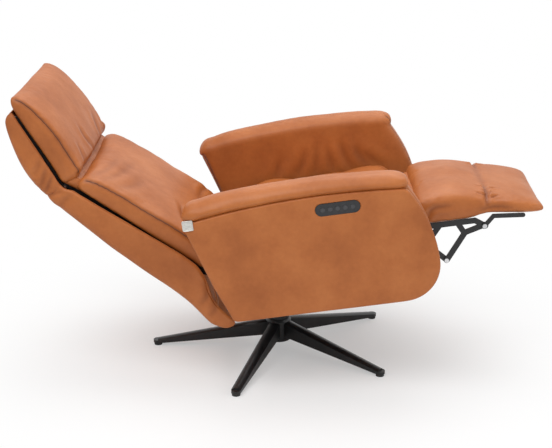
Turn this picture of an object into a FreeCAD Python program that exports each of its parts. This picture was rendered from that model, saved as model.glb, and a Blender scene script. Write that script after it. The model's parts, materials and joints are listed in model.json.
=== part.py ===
import FreeCAD, Part
import os
import Sketcher
from FreeCAD import Placement, Rotation, Vector

# Swivel recliner on a star base. +X is the sitter's front, +Y the sitter's left, +Z up, and the
# origin is on the floor under the swivel axis. Lengths are millimetres and angles are degrees.
# Three tilted frames carry the upholstery: the seat frame has its origin on the tilt shaft, the
# back frame on the back hinge and the head frame on the head hinge. Points in them are x, z.

SIZES = [
    # Star base, column and swivel
    ("leg_count", "5"),
    ("leg_reach", "380"),
    ("leg_turn", "36"),
    ("leg_root_low", "40"),
    ("leg_root_high", "86"),
    ("leg_root_half", "17"),
    ("leg_tip_low", "7"),
    ("leg_tip_high", "20"),
    ("leg_tip_half", "14"),
    ("leg_crown", "4"),
    ("hub_radius", "38"),
    ("hub_low", "24"),
    ("hub_high", "92"),
    ("hub_floor", "10"),
    ("glide_radius", "12"),
    ("column_radius", "29"),
    ("column_wall", "4"),
    ("column_high", "160"),
    ("spindle_radius", "15"),
    ("bush_length", "18"),
    ("washer_thick", "5.7"),
    ("flange_radius", "38"),
    ("flange_thick", "8"),
    ("plate_length", "180"),
    ("plate_width", "150"),
    ("plate_thick", "6"),
    ("plate_bolt_radius", "4"),
    ("plate_bolt_circle", "27"),
    # Clearances
    ("run_gap", "0.05"),
    ("part_gap", "0.3"),
    ("link_gap", "0.6"),
    # Tilt shaft and seat tilt
    ("seat_tilt", "8"),
    ("seat_setback", "5"),
    ("ear_high", "20"),
    ("tilt_shaft_radius", "8"),
    ("ear_inner", "40"),
    ("ear_thick", "6"),
    ("ear_radius", "15"),
    ("beam_gap", "4"),
    ("beam_thick", "6"),
    # Seat frame
    ("frame_low", "43"),
    ("tube_high", "22"),
    ("tube_wall", "2.5"),
    ("rear_tube_x", "-75"),
    ("front_tube_x", "181"),
    ("tube_deep", "34"),
    ("side_rail_thick", "4"),
    ("side_rail_rear", "-130"),
    ("side_rail_front", "380"),
    ("side_rail_high", "57"),
    ("rail_deep", "28"),
    ("rail_high", "23"),
    ("rear_rail_x", "-62"),
    ("front_rail_x", "322"),
    ("strap_thick", "2"),
    ("strap_width", "50"),
    ("strap_pitch", "100"),
    ("strap_count", "5"),
    # Mechanism plates, drive tube and leg rest linkage
    ("mech_plate_inner", "212"),
    ("mech_plate_thick", "6"),
    ("mech_plate_high", "55"),
    ("mech_plate_rear", "-75"),
    ("mech_plate_front", "345"),
    ("rest_hinge_x", "418"),
    ("rest_hinge_z", "196"),
    ("rest_shaft_radius", "7"),
    ("drive_x", "312"),
    ("drive_z", "92"),
    ("drive_tube_radius", "11"),
    ("drive_tube_bore", "8"),
    ("link_inner", "174.8"),
    ("link_thick", "4"),
    ("link_width", "16"),
    ("knee_x", "498"),
    ("knee_z", "74"),
    ("toe_x", "612"),
    ("toe_z", "165"),
    ("rivet_radius", "4"),
    ("rivet_head_radius", "6.5"),
    ("rivet_head_thick", "2.4"),
    # Leg rest cushion and its flip-out end
    ("rest_half", "200"),
    ("rest_rear", "428"),
    ("rest_front", "618"),
    ("rest_board_low", "191"),
    ("rest_board_thick", "8"),
    ("rest_board_rear", "450"),
    ("rest_board_front", "600"),
    ("rest_board_half", "172"),
    ("flap_slope", "9.7"),
    ("flap_length", "160"),
    ("flap_low", "42"),
    ("flap_board_thick", "6"),
    ("flap_board_half", "190"),
    # Back
    ("back_hinge_x", "-115"),
    ("back_hinge_z", "120"),
    ("back_angle", "48.3"),
    ("back_half", "276"),
    ("back_half_top", "256"),
    ("head_half", "254"),
    ("shell_high", "512"),
    ("shell_deep", "100"),
    ("shell_wall", "10"),
    ("back_pin_radius", "7"),
    ("stile_thick", "6"),
    ("stile_width", "30"),
    ("stile_front", "-10"),
    ("back_rail_size", "20"),
    ("back_rail_low", "95"),
    ("back_rail_high", "470"),
    ("board_thick", "2.7"),
    ("back_crank", "45"),
    ("back_swing", "32"),
    ("actuator_y", "-100"),
    ("rod_radius", "6"),
    ("actuator_radius", "16"),
    ("actuator_rear", "-20"),
    ("rod_eye_radius", "11"),
    ("rod_eye_play", "2.2"),
    # Head
    ("head_hinge_x", "-30"),
    ("head_hinge_z", "520"),
    ("head_angle", "25.5"),
    ("head_pin_radius", "5"),
    ("head_plate_thick", "5"),
    ("head_plate_width", "24"),
    ("head_plate_high", "235"),
    ("head_rail_low", "120"),
    # Arms
    ("arm_inner", "283"),
    ("core_thick", "72.5"),
    ("panel_thick", "15.5"),
    ("arm_low", "41"),
    ("arm_rear_low", "-104"),
    ("arm_rear_high", "-203"),
    ("arm_rear_top", "347"),
    ("arm_mid_x", "147"),
    ("arm_mid_top", "380"),
    ("arm_front_top_x", "396"),
    ("arm_front_top", "368"),
    ("arm_front_x", "468"),
    ("arm_corner_x", "368"),
    ("arm_corner_z", "141"),
    ("core_inset", "3"),
    ("pad_drop", "16"),
    ("arm_bolt_radius", "4"),
    ("arm_bolt_z", "85"),
    # Keypad and tag on the right arm
    ("keypad_x", "214"),
    ("keypad_z", "329"),
    ("keypad_length", "120"),
    ("keypad_high", "34"),
    ("keypad_deep", "6"),
    ("key_radius", "6"),
    ("key_pitch", "20"),
    ("key_count", "5"),
    ("tag_side", "29"),
    ("tag_thick", "1.2"),
    # Seat and back cushions
    ("seat_gap", "4"),
    ("seat_rear_over", "20"),
    ("seat_length", "479"),
    ("seat_high", "97"),
    ("back_cushion_low", "48"),
    ("back_cushion_top_gap", "30"),
    ("back_cushion_deep", "50"),
    ("head_cushion_low", "14"),
    ("head_cushion_high", "271"),
    ("head_cushion_deep", "55"),
    ("rest_cushion_high", "54"),
    ("flap_cushion_low", "9"),
    ("flap_cushion_high", "20"),
    ("cushion_bulge", "2"),
    # Motor and control box
    ("gearbox_half", "25"),
    ("gearbox_inner", "60"),
    ("gearbox_width", "50"),
    ("motor_radius", "22"),
    ("control_length", "130"),
    ("control_high", "30"),
    ("inlet_radius", "6"),
]

doc = FreeCAD.newDocument("SwivelRecliner")
sheet = doc.addObject("Spreadsheet::Sheet", "Sizes")
for row, (alias, number) in enumerate(SIZES, start=1):
    sheet.set(f"A{row}", number)
    sheet.setAlias(f"A{row}", alias)
doc.recompute()


class Size:
    """A length or an angle, held with the sheet expression that gives it."""

    def __init__(self, value, text):
        self.value = float(value)
        self.text = text

    def __add__(self, other):
        return Size(self.value + number(other), f"({self.text} + {words(other)})")

    def __radd__(self, other):
        return Size(number(other) + self.value, f"({words(other)} + {self.text})")

    def __sub__(self, other):
        return Size(self.value - number(other), f"({self.text} - {words(other)})")

    def __rsub__(self, other):
        return Size(number(other) - self.value, f"({words(other)} - {self.text})")

    def __mul__(self, other):
        return Size(self.value * number(other), f"({self.text} * {words(other)})")

    def __rmul__(self, other):
        return self * other

    def __truediv__(self, other):
        return Size(self.value / number(other), f"({self.text} / {words(other)})")

    def __neg__(self):
        return Size(-self.value, f"(0 - {self.text})")


class Sheet:
    """Gives each named size of the sheet as a Size."""

    def __getattr__(self, alias):
        return Size(sheet.get(alias), f"Sizes.{alias}")


def number(item):
    """The plain number in a Size or a number."""
    return item.value if isinstance(item, Size) else float(item)


def words(item):
    """The expression of a Size or a number."""
    if isinstance(item, Size):
        return item.text
    return f"({float(item)!r})"


def bind(thing, prop, item):
    """Tie a property to the expression of a Size, or set it where it is a plain number."""
    if isinstance(item, Size):
        thing.setExpression(prop, item.text)
    else:
        setattr(thing, prop, float(item))


S = Sheet()

# Tilted frames
WORLD = Placement()
SHAFT_HEIGHT = (S.column_high + S.washer_thick + S.part_gap + S.flange_thick + S.plate_thick + S.ear_high).value
SEAT = Placement(Vector(-S.seat_setback.value, 0, SHAFT_HEIGHT), Rotation(Vector(0, 1, 0), -S.seat_tilt.value))
BACK_HINGE = Vector(S.back_hinge_x.value, 0, S.back_hinge_z.value)
BACK = SEAT.multiply(Placement(BACK_HINGE, Rotation(Vector(0, 1, 0), -S.back_angle.value)))
HEAD_HINGE = Vector(S.head_hinge_x.value, 0, S.head_hinge_z.value)
HEAD = BACK.multiply(Placement(HEAD_HINGE, Rotation(Vector(0, 1, 0), S.head_angle.value)))
TOE = Vector(S.toe_x.value, 0, S.toe_z.value)
FLAP = SEAT.multiply(Placement(TOE, Rotation(Vector(0, 1, 0), S.flap_slope.value)))

PIECES = []


def body(name, frame):
    """A named solid that stands in one of the frames."""
    made = doc.addObject("PartDesign::Body", name)
    made.Label = name
    made.Placement = frame
    PIECES.append(made)
    return made


def sketch(owner, role, offset=None):
    """A sketch on one of the body's own origin planes, moved along the plane's normal."""
    plane = [item for item in owner.Origin.OriginFeatures if item.Role == role][0]
    made = owner.newObject("Sketcher::SketchObject", f"{owner.Name}_sketch")
    made.AttachmentSupport = [(plane, "")]
    made.MapMode = "FlatFace"
    if offset is not None:
        if isinstance(offset, Size):
            made.setExpression("AttachmentOffset.Base.z", offset.text)
        else:
            made.AttachmentOffset = Placement(Vector(0, 0, offset), Rotation())
    return made


def fix_point(drawing, item, position, point):
    """Hold a sketch point at a place measured from the sketch origin."""
    for kind, size in (("DistanceX", point[0]), ("DistanceY", point[1])):
        held = drawing.addConstraint(Sketcher.Constraint(kind, -1, 1, item, position, number(size)))
        if isinstance(size, Size):
            drawing.setExpression(f"Constraints[{held}]", size.text)


def draw_outline(drawing, steps):
    """Draw a closed outline. A step is a corner (a, b), or an arc (through a, b, to a, b)."""
    count = len(steps)
    start = steps[0]
    edges = []
    here = start
    for step in list(steps[1:]) + [start[-2:]]:
        end = step[-2:]
        first = Vector(number(here[-2]), number(here[-1]), 0)
        last = Vector(number(end[0]), number(end[1]), 0)
        if len(step) == 4:
            middle = Vector(number(step[0]), number(step[1]), 0)
            turn = (middle - first).cross(last - middle).z
            ends = (first, last) if turn > 0 else (last, first)
            item = drawing.addGeometry(Part.Arc(ends[0], middle, ends[1]), False)
            edges.append((item, 1, 2) if turn > 0 else (item, 2, 1))
            mark = drawing.addGeometry(Part.Point(middle), True)
            fix_point(drawing, mark, 1, step[:2])
            drawing.addConstraint(Sketcher.Constraint("PointOnObject", mark, 1, item))
        else:
            item = drawing.addGeometry(Part.LineSegment(first, last), False)
            edges.append((item, 1, 2))
        here = step
    corners = [start] + [step[-2:] for step in steps[1:]]
    for index in range(count):
        item, begin, _ = edges[index]
        before, _, finish = edges[index - 1]
        drawing.addConstraint(Sketcher.Constraint("Coincident", before, finish, item, begin))
        fix_point(drawing, item, begin, corners[index])


def draw_circle(drawing, centre, radius):
    """Draw a circle held at its centre and radius."""
    spot = Vector(number(centre[0]), number(centre[1]), 0)
    item = drawing.addGeometry(Part.Circle(spot, Vector(0, 0, 1), number(radius)), False)
    fix_point(drawing, item, 3, centre)
    held = drawing.addConstraint(Sketcher.Constraint("Radius", item, number(radius)))
    if isinstance(radius, Size):
        drawing.setExpression(f"Constraints[{held}]", radius.text)


def draw_bar(drawing, first, last, width):
    """Draw a round-ended bar between two points."""
    begin = Vector(number(first[0]), number(first[1]), 0)
    finish = Vector(number(last[0]), number(last[1]), 0)
    radius = number(width) / 2
    along = (finish - begin).normalize()
    aside = Vector(-along.y, along.x, 0) * radius
    near = drawing.addGeometry(Part.Arc(begin + aside, begin - along * radius, begin - aside), False)
    low = drawing.addGeometry(Part.LineSegment(begin - aside, finish - aside), False)
    far = drawing.addGeometry(Part.Arc(finish - aside, finish + along * radius, finish + aside), False)
    top = drawing.addGeometry(Part.LineSegment(finish + aside, begin + aside), False)
    for pair in ((near, 2, low, 1), (low, 2, far, 1), (far, 2, top, 1), (top, 2, near, 1)):
        drawing.addConstraint(Sketcher.Constraint("Tangent", *pair))
    drawing.addConstraint(Sketcher.Constraint("Equal", near, far))
    fix_point(drawing, near, 3, first)
    fix_point(drawing, far, 3, last)
    held = drawing.addConstraint(Sketcher.Constraint("Radius", near, radius))
    if isinstance(width, Size):
        drawing.setExpression(f"Constraints[{held}]", (width / 2).text)


def pad(owner, drawing, length):
    """Raise a sketch along its normal."""
    made = owner.newObject("PartDesign::Pad", f"{owner.Name}_pad")
    made.Profile = drawing
    bind(made, "Length", length)
    drawing.Visibility = False
    return made


def drill(owner, drawing, length):
    """Cut a sketch out along its normal."""
    made = owner.newObject("PartDesign::Pocket", f"{owner.Name}_pocket")
    made.Profile = drawing
    made.Reversed = True
    bind(made, "Length", length)
    return made


def side_plane(owner, y_high):
    """A sketch in x and z whose pads run from y_high towards -Y."""
    return sketch(owner, "XZ_Plane", -y_high)


def plate(name, frame, y_low, y_high, outline, bores=()):
    """A flat plate that lies in x and z, with round holes."""
    owner = body(name, frame)
    drawing = side_plane(owner, y_high)
    draw_outline(drawing, outline)
    for centre, radius in bores:
        draw_circle(drawing, centre, radius)
    pad(owner, drawing, y_high - y_low)
    return owner


def link(name, frame, y_low, y_high, paths, bores):
    """A flat steel link: round-ended bars along the paths, drilled for its pins."""
    owner = body(name, frame)
    add_bars(owner, y_low, y_high, paths)
    add_bores(owner, y_low, y_high, bores)
    return owner


def block(name, frame, x_low, x_high, y_low, y_high, z_low, z_high):
    """A square-edged block."""
    owner = body(name, frame)
    drawing = sketch(owner, "XY_Plane", z_low)
    draw_outline(drawing, [(x_low, y_low), (x_high, y_low), (x_high, y_high), (x_low, y_high)])
    pad(owner, drawing, z_high - z_low)
    return owner


def rectangle(x_low, x_high, z_low, z_high):
    """The four corners of an upright rectangle."""
    return [(x_low, z_low), (x_high, z_low), (x_high, z_high), (x_low, z_high)]


def turned(name, profile):
    """A round piece about the swivel axis, from its radius and height outline."""
    owner = body(name, WORLD)
    drawing = sketch(owner, "XZ_Plane")
    draw_outline(drawing, profile)
    made = owner.newObject("PartDesign::Revolution", f"{name}_turn")
    made.Profile = drawing
    made.ReferenceAxis = (drawing, ["V_Axis"])
    made.Angle = 360
    return owner


def ring(name, inner, outer, low, high):
    """A plain ring about the swivel axis."""
    return turned(name, [(inner, low), (outer, low), (outer, high), (inner, high)])


def y_rod(label, x, z, y_low, y_high, radius):
    """A loose cylinder along Y."""
    made = doc.addObject("Part::Cylinder", label)
    bind(made, "Radius", radius)
    bind(made, "Height", y_high - y_low)
    made.Placement = Placement(Vector(number(x), number(y_high), number(z)), Rotation(Vector(1, 0, 0), 90))
    return made


def headed_pins(name, frame, spots, inner, outer, radius, heads):
    """Pins along Y on both sides: a shank from inner to outer, with heads (inner, outer, radius)."""
    made = []
    for side, sign in (("left", 1), ("right", -1)):
        for index, (x, z) in enumerate(spots):
            parts = [y_rod(f"{name}_{side}_{index}_shank", x, z, *span(sign, inner, outer), radius)]
            for order, (first, last, wide) in enumerate(heads):
                label = f"{name}_{side}_{index}_head_{order}"
                parts.append(y_rod(label, x, z, *span(sign, first, last), wide))
            joined = doc.addObject("Part::MultiFuse", f"{name}_{side}_{index}")
            joined.Shapes = parts
            made.append(joined)
    return gather(name, frame, made)


def gather(name, frame, made):
    """Join loose pieces of one kind under one name."""
    group = doc.addObject("Part::Compound", name)
    group.Label = name
    group.Links = made
    group.Placement = frame
    PIECES.append(group)
    return group


def soft_section(along, place, half, low, edge, crown, bulge, centre=0):
    """A cushion's cross-section: flat below, swelling sides, crowned above."""
    def point(across, up):
        if along == "x":
            return Vector(place, centre + across, up)
        return Vector(up, centre + across, place)

    middle = (low + edge) / 2
    near_low, far_low = point(-half, low), point(half, low)
    near_top, far_top = point(-half, edge), point(half, edge)
    edges = [
        Part.LineSegment(near_low, far_low),
        Part.Arc(far_low, point(half + bulge, middle), far_top),
        Part.Arc(far_top, point(0, crown), near_top),
        Part.Arc(near_top, point(-half - bulge, middle), near_low),
    ]
    return Part.Wire([edge.toShape() for edge in edges])


def soft(name, frame, along, sections):
    """A cushion lofted through its sections, each (place, half, low, edge, crown, bulge, centre)."""
    wires = [soft_section(along, *section) for section in sections]
    made = doc.addObject("Part::Feature", name)
    made.Label = name
    made.Shape = Part.makeLoft(wires, True, True)
    made.Placement = frame
    PIECES.append(made)
    return made


def cushion(name, frame, along, start, length, half, low, high, shares):
    """A cushion whose sections are shares of its sizes: (along, draw-in, low, edge, crown)."""
    start, length, half, low, high = (number(size) for size in (start, length, half, low, high))
    bulge = S.cushion_bulge.value
    sections = [(start + length * share, half * (1 - draw), low + high * under, low + high * edge,
                 low + high * crown, bulge) for share, draw, under, edge, crown in shares]
    return soft(name, frame, along, sections)


def both_sides(maker):
    """Make a piece on the left, +Y, and on the right, -Y."""
    for side, sign in (("left", 1), ("right", -1)):
        maker(side, sign)


def span(sign, inner, outer):
    """The y range of a piece between two distances from the middle, on one side."""
    return (inner, outer) if sign > 0 else (-outer, -inner)


# Star base

def make_star_base():
    owner = body("star_base", Placement(Vector(), Rotation(Vector(0, 0, 1), S.leg_turn.value)))
    hub = sketch(owner, "XZ_Plane")
    floor = S.hub_low + S.hub_floor
    draw_outline(hub, [(0, S.hub_low), (S.hub_radius, S.hub_low), (S.hub_radius, S.hub_high - 6),
                       (S.hub_radius - 4, S.hub_high), (S.column_radius, S.hub_high),
                       (S.column_radius, floor), (0, floor)])
    turn = owner.newObject("PartDesign::Revolution", "star_hub")
    turn.Profile = hub
    turn.ReferenceAxis = (hub, ["V_Axis"])
    turn.Angle = 360
    sections = []
    root = S.hub_radius - 4
    tip = S.leg_reach - S.leg_tip_half
    for offset, half, low, high in (
            (root, S.leg_root_half, S.leg_root_low, S.leg_root_high),
            (tip, S.leg_tip_half, S.leg_tip_low, S.leg_tip_high)):
        drawing = sketch(owner, "YZ_Plane", offset)
        shoulder = high - S.leg_crown
        draw_outline(drawing, [(-half, low), (half, low), (half, shoulder), (0, high, -half, shoulder)])
        sections.append(drawing)
    leg = owner.newObject("PartDesign::AdditiveLoft", "star_leg")
    leg.Profile = sections[0]
    leg.Sections = [sections[1]]
    leg.Ruled = True
    toe = sketch(owner, "XY_Plane", S.leg_tip_low)
    draw_circle(toe, (tip, 0), S.leg_tip_half)
    end = pad(owner, toe, S.leg_tip_high - S.leg_crown - S.leg_tip_low)
    legs = owner.newObject("PartDesign::PolarPattern", "star_legs")
    legs.Originals = [leg, end]
    legs.Axis = ([item for item in owner.Origin.OriginFeatures if item.Role == "Z_Axis"][0], [""])
    legs.Angle = 360
    legs.setExpression("Occurrences", S.leg_count.text)
    owner.Tip = legs


def make_glides():
    made = []
    count = round(S.leg_count.value)
    reach = S.leg_reach.value - S.leg_tip_half.value
    for index in range(count):
        turn = Rotation(Vector(0, 0, 1), S.leg_turn.value + index * 360 / count)
        glide = doc.addObject("Part::Cylinder", f"glide_{index}")
        bind(glide, "Radius", S.glide_radius)
        bind(glide, "Height", S.leg_tip_low)
        glide.Placement = Placement(turn.multVec(Vector(reach, 0, 0)), Rotation())
        made.append(glide)
    gather("foot_glides", WORLD, made)


def make_column():
    inner = S.column_radius - S.column_wall
    floor = S.hub_low + S.hub_floor
    slide = S.spindle_radius + S.run_gap
    ring("column_tube", inner, S.column_radius, floor, S.column_high)
    make_bushes(slide, inner, (floor + 10, S.column_high - S.bush_length))
    ring("thrust_washer", slide + 2, S.column_radius - 1, S.column_high, S.column_high + S.washer_thick)
    ring("spindle_clip", S.spindle_radius, S.spindle_radius + 5, floor + 6, floor + 9)
    flange = flange_low()
    turned("swivel_spindle", [(0, floor + 4), (S.spindle_radius, floor + 4), (S.spindle_radius, flange),
                              (S.flange_radius, flange), (S.flange_radius, flange + S.flange_thick),
                              (0, flange + S.flange_thick)])
    owner = doc.getObject("swivel_spindle")
    bolt_holes(owner, flange, S.flange_thick)


def make_bushes(inner, outer, levels):
    made = []
    for index, low in enumerate(levels):
        parts = []
        for kind, radius in (("outer", outer), ("inner", inner)):
            item = doc.addObject("Part::Cylinder", f"bush_{kind}_{index}")
            bind(item, "Radius", radius)
            bind(item, "Height", S.bush_length)
            item.Placement = Placement(Vector(0, 0, number(low)), Rotation())
            parts.append(item)
        cut = doc.addObject("Part::Cut", f"bush_{index}")
        cut.Base, cut.Tool = parts
        made.append(cut)
    gather("column_bushes", WORLD, made)


def flange_low():
    """Height of the spindle flange's underside, just over the thrust washer."""
    return S.column_high + S.washer_thick + S.part_gap


def plate_top():
    """Height of the swivel plate's upper face."""
    return flange_low() + S.flange_thick + S.plate_thick


def bolt_places():
    """The four bolt places round the spindle flange."""
    reach = S.plate_bolt_circle
    return [(reach, 0), (0, reach), (-reach, 0), (0, -reach)]


def bolt_holes(owner, low, length):
    """Drill the four plate bolt holes upwards from a level."""
    drawing = sketch(owner, "XY_Plane", low)
    for place in bolt_places():
        draw_circle(drawing, place, S.plate_bolt_radius)
    drill(owner, drawing, length)


def make_swivel_plate():
    owner = body("swivel_plate", WORLD)
    low = flange_low() + S.flange_thick
    flat = sketch(owner, "XY_Plane", low)
    length, width = S.plate_length / 2, S.plate_width / 2
    draw_outline(flat, [(-length, -width), (length, -width), (length, width), (-length, width)])
    pad(owner, flat, S.plate_thick)
    bolt_holes(owner, low, S.plate_thick)
    top = plate_top()
    for outer in (S.ear_inner + S.ear_thick, -S.ear_inner):
        drawing = side_plane(owner, outer)
        reach = S.ear_radius
        back = -S.seat_setback
        axis = top + S.ear_high
        draw_outline(drawing, [(back - reach * 2, top), (back + reach * 2, top), (back + reach, axis),
                               (back, axis + reach, back - reach, axis)])
        draw_circle(drawing, (back, axis), S.tilt_shaft_radius + S.run_gap)
        pad(owner, drawing, S.ear_thick)


def make_plate_bolts():
    made = []
    low = flange_low().value
    shank = S.flange_thick + S.plate_thick
    for index, (x, y) in enumerate(bolt_places()):
        for part, radius, bottom, length in (
                ("shank", S.plate_bolt_radius, low, shank),
                ("cap", S.plate_bolt_radius + 2.5, low + shank.value, 4)):
            bolt = doc.addObject("Part::Cylinder", f"plate_bolt_{part}_{index}")
            bind(bolt, "Radius", radius)
            bind(bolt, "Height", length)
            bolt.Placement = Placement(Vector(number(x), number(y), bottom), Rotation())
            made.append(bolt)
    joined = []
    for index in range(0, len(made), 2):
        fused = doc.addObject("Part::Fuse", f"plate_bolt_{index}")
        fused.Base = made[index]
        fused.Tool = made[index + 1]
        joined.append(fused)
    gather("plate_bolts", WORLD, joined)


# Seat frame

def beam_inner():
    """Distance of the tilt beams' inner faces from the middle."""
    return S.ear_inner + S.ear_thick + S.beam_gap


def make_tilt_shaft():
    owner = body("tilt_shaft", SEAT)
    half = beam_inner() + S.beam_thick + 5
    drawing = side_plane(owner, half)
    draw_circle(drawing, (0, 0), S.tilt_shaft_radius)
    pad(owner, drawing, half * 2)


def make_tilt_washers():
    made = []
    for side, sign in (("left", 1), ("right", -1)):
        y_low, y_high = span(sign, beam_inner() - S.beam_gap + S.part_gap, beam_inner())
        cut = doc.addObject("Part::Cut", f"tilt_washer_{side}")
        cut.Base = y_rod(f"tilt_washer_{side}_outer", 0, 0, y_low, y_high, S.ear_radius - 2)
        cut.Tool = y_rod(f"tilt_washer_{side}_inner", 0, 0, y_low, y_high, S.tilt_shaft_radius)
        made.append(cut)
    gather("tilt_washers", SEAT, made)


def rail_inner():
    """Distance of the side rails' inner faces from the middle."""
    return S.arm_inner - S.side_rail_thick


def arm_bolt_places():
    """Three bolts along each side rail."""
    rear, front = S.side_rail_rear + 40, S.side_rail_front - 60
    return [(rear, S.arm_bolt_z), ((rear + front) / 2, S.arm_bolt_z), (front, S.arm_bolt_z)]


def add_plate(owner, y_low, y_high, outline, bores=()):
    """Weld one more upright plate to a body."""
    drawing = side_plane(owner, y_high)
    draw_outline(drawing, outline)
    for centre, radius in bores:
        draw_circle(drawing, centre, radius)
    pad(owner, drawing, y_high - y_low)


def add_tube(owner, x_low, x_high, z_low, z_high, half_length):
    """Weld a rectangular tube along Y to a body."""
    wall = S.tube_wall
    drawing = side_plane(owner, half_length)
    draw_outline(drawing, rectangle(x_low, x_high, z_low, z_high))
    draw_outline(drawing, rectangle(x_low + wall, x_high - wall, z_low + wall, z_high - wall))
    pad(owner, drawing, half_length * 2)


def make_seat_frame():
    owner = body("seat_frame", SEAT)
    low, high = S.frame_low, S.frame_low + S.tube_high
    rear, front = S.rear_tube_x + S.tube_deep, S.front_tube_x
    for x in (S.rear_tube_x, S.front_tube_x):
        add_tube(owner, x, x + S.tube_deep, low, high, rail_inner())
    reach = S.ear_radius - 1
    beam = [(rear, high), (rear, low), (-reach * 2, low), (-reach, 0),
            (0, -reach, reach, 0), (reach * 3, low), (front, low), (front, high)]
    rail = rectangle(S.side_rail_rear, S.side_rail_front, low, low + S.side_rail_high)
    rail_bores = [(place, S.arm_bolt_radius) for place in arm_bolt_places()]
    for sign in (1, -1):
        add_plate(owner, *span(sign, beam_inner(), beam_inner() + S.beam_thick), beam,
                  [((0, 0), S.tilt_shaft_radius)])
        add_plate(owner, *span(sign, rail_inner(), S.arm_inner), rail, rail_bores)
    add_plate(owner, S.gearbox_inner, S.gearbox_inner + S.gearbox_width,
              rectangle(front + S.tube_deep, front + S.tube_deep + 6, low, S.drive_z + S.motor_radius))
    mount = rectangle(front - 12, front, low, high + 20)
    add_plate(owner, S.actuator_y - S.actuator_radius, S.actuator_y + S.actuator_radius, mount)


def make_arm_bolts():
    tip = S.arm_inner + 36
    headed_pins("arm_bolts", SEAT, arm_bolt_places(), rail_inner(), tip, S.arm_bolt_radius,
                [(rail_inner() - 4, rail_inner(), S.arm_bolt_radius + 2.5)])


def mech_top():
    """Height of the mechanism plates' upper edge, where the wooden rails rest."""
    return S.frame_low + S.tube_high + S.mech_plate_high


def make_mechanism_plate(side, sign):
    inner = S.mech_plate_inner
    y_low, y_high = span(sign, inner, inner + S.mech_plate_thick)
    low, high = S.frame_low + S.tube_high, mech_top()
    owner = body(f"mechanism_plate_{side}", SEAT)
    web = side_plane(owner, y_high)
    draw_outline(web, rectangle(S.mech_plate_rear, S.mech_plate_front, low, high))
    pad(owner, web, S.mech_plate_thick)
    hinge = (S.back_hinge_x, S.back_hinge_z)
    rest = (S.rest_hinge_x, S.rest_hinge_z)
    bars = [(hinge, (S.mech_plate_rear + 15, low + 18), 32),
            ((S.drive_x + 22, S.drive_z + 4), (S.rest_hinge_x - 12, S.rest_hinge_z - 50), 22),
            ((S.rest_hinge_x - 12, S.rest_hinge_z - 50), rest, 22)]
    for first, last, width in bars:
        drawing = side_plane(owner, y_high)
        draw_bar(drawing, first, last, width)
        pad(owner, drawing, S.mech_plate_thick)
    holes = side_plane(owner, y_high)
    draw_circle(holes, hinge, S.back_pin_radius)
    draw_circle(holes, rest, S.rest_shaft_radius + S.run_gap)
    draw_circle(holes, (S.drive_x, S.drive_z), S.drive_tube_radius + S.run_gap)
    drill(owner, holes, S.mech_plate_thick)


def make_wood_rails():
    half = S.arm_inner - S.part_gap - 4
    made = []
    for place, x in (("rear", S.rear_rail_x), ("front", S.front_rail_x)):
        rail = doc.addObject("Part::Box", f"seat_rail_{place}")
        bind(rail, "Length", S.rail_deep)
        bind(rail, "Width", half * 2)
        bind(rail, "Height", S.rail_high)
        rail.Placement = Placement(Vector(number(x), -number(half), number(mech_top())), Rotation())
        made.append(rail)
    gather("seat_rails", SEAT, made)


def strap_top():
    """Height of the webbing, where the seat cushion rests."""
    return mech_top() + S.rail_high + S.strap_thick


def make_webbing():
    made = []
    count = round(S.strap_count.value)
    for index in range(count):
        strap = doc.addObject("Part::Box", f"strap_{index}")
        middle = (index - (count - 1) / 2) * S.strap_pitch.value
        bind(strap, "Length", S.front_rail_x + S.rail_deep - S.rear_rail_x)
        bind(strap, "Width", S.strap_width)
        bind(strap, "Height", S.strap_thick)
        low = strap_top() - S.strap_thick
        strap.Placement = Placement(
            Vector(S.rear_rail_x.value, middle - S.strap_width.value / 2, low.value), Rotation())
        made.append(strap)
    gather("seat_webbing", SEAT, made)


def make_seat_cushion():
    shares = [
        (0.00, 0.030, 0.00, 0.65, 0.69),
        (0.06, 0.012, 0.00, 0.90, 0.96),
        (0.44, 0.022, 0.00, 0.88, 1.11),
        (0.77, 0.012, 0.00, 1.00, 1.23),
        (0.90, 0.010, 0.04, 1.02, 1.27),
        (0.97, 0.014, 0.43, 1.00, 1.23),
        (1.00, 0.030, 0.64, 0.86, 1.10),
    ]
    cushion("seat_cushion", SEAT, "x", S.rear_rail_x - S.seat_rear_over, S.seat_length,
            S.arm_inner - S.seat_gap, strap_top() + S.part_gap, S.seat_high, shares)


# Leg rest

def layer(index):
    """The y range of one layer of the linkage, counted outwards from the lower links."""
    inner = S.link_inner + (S.link_thick + S.link_gap) * index
    return inner, inner + S.link_thick


def add_bars(owner, y_low, y_high, paths):
    """Weld round-ended bars along paths of points to a body."""
    for points, width in paths:
        for first, last in zip(points, points[1:]):
            drawing = side_plane(owner, y_high)
            draw_bar(drawing, first, last, width)
            pad(owner, drawing, y_high - y_low)


def add_bores(owner, y_low, y_high, bores):
    """Drill a body along Y between two levels."""
    drawing = side_plane(owner, y_high)
    for centre, radius in bores:
        draw_circle(drawing, centre, radius)
    drill(owner, drawing, y_high - y_low)


def make_drive_arms():
    owner = body("drive_arms", SEAT)
    half = S.mech_plate_inner + S.mech_plate_thick + 4
    drive = (S.drive_x, S.drive_z)
    tube = side_plane(owner, half)
    draw_circle(tube, drive, S.drive_tube_radius)
    pad(owner, tube, half * 2)
    knee = (S.knee_x, S.knee_z)
    bend = (S.knee_x - 43, S.knee_z + 44)
    collar = (S.drive_x + 1, S.drive_z)
    for sign in (1, -1):
        y_low, y_high = span(sign, *layer(0))
        add_bars(owner, y_low, y_high, [([drive, bend, knee], S.link_width),
                                        ([drive, collar], S.drive_tube_radius * 3)])
        add_bores(owner, y_low, y_high, [(knee, S.rivet_radius)])
    add_bores(owner, -half, half, [(drive, S.drive_tube_bore)])


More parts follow.
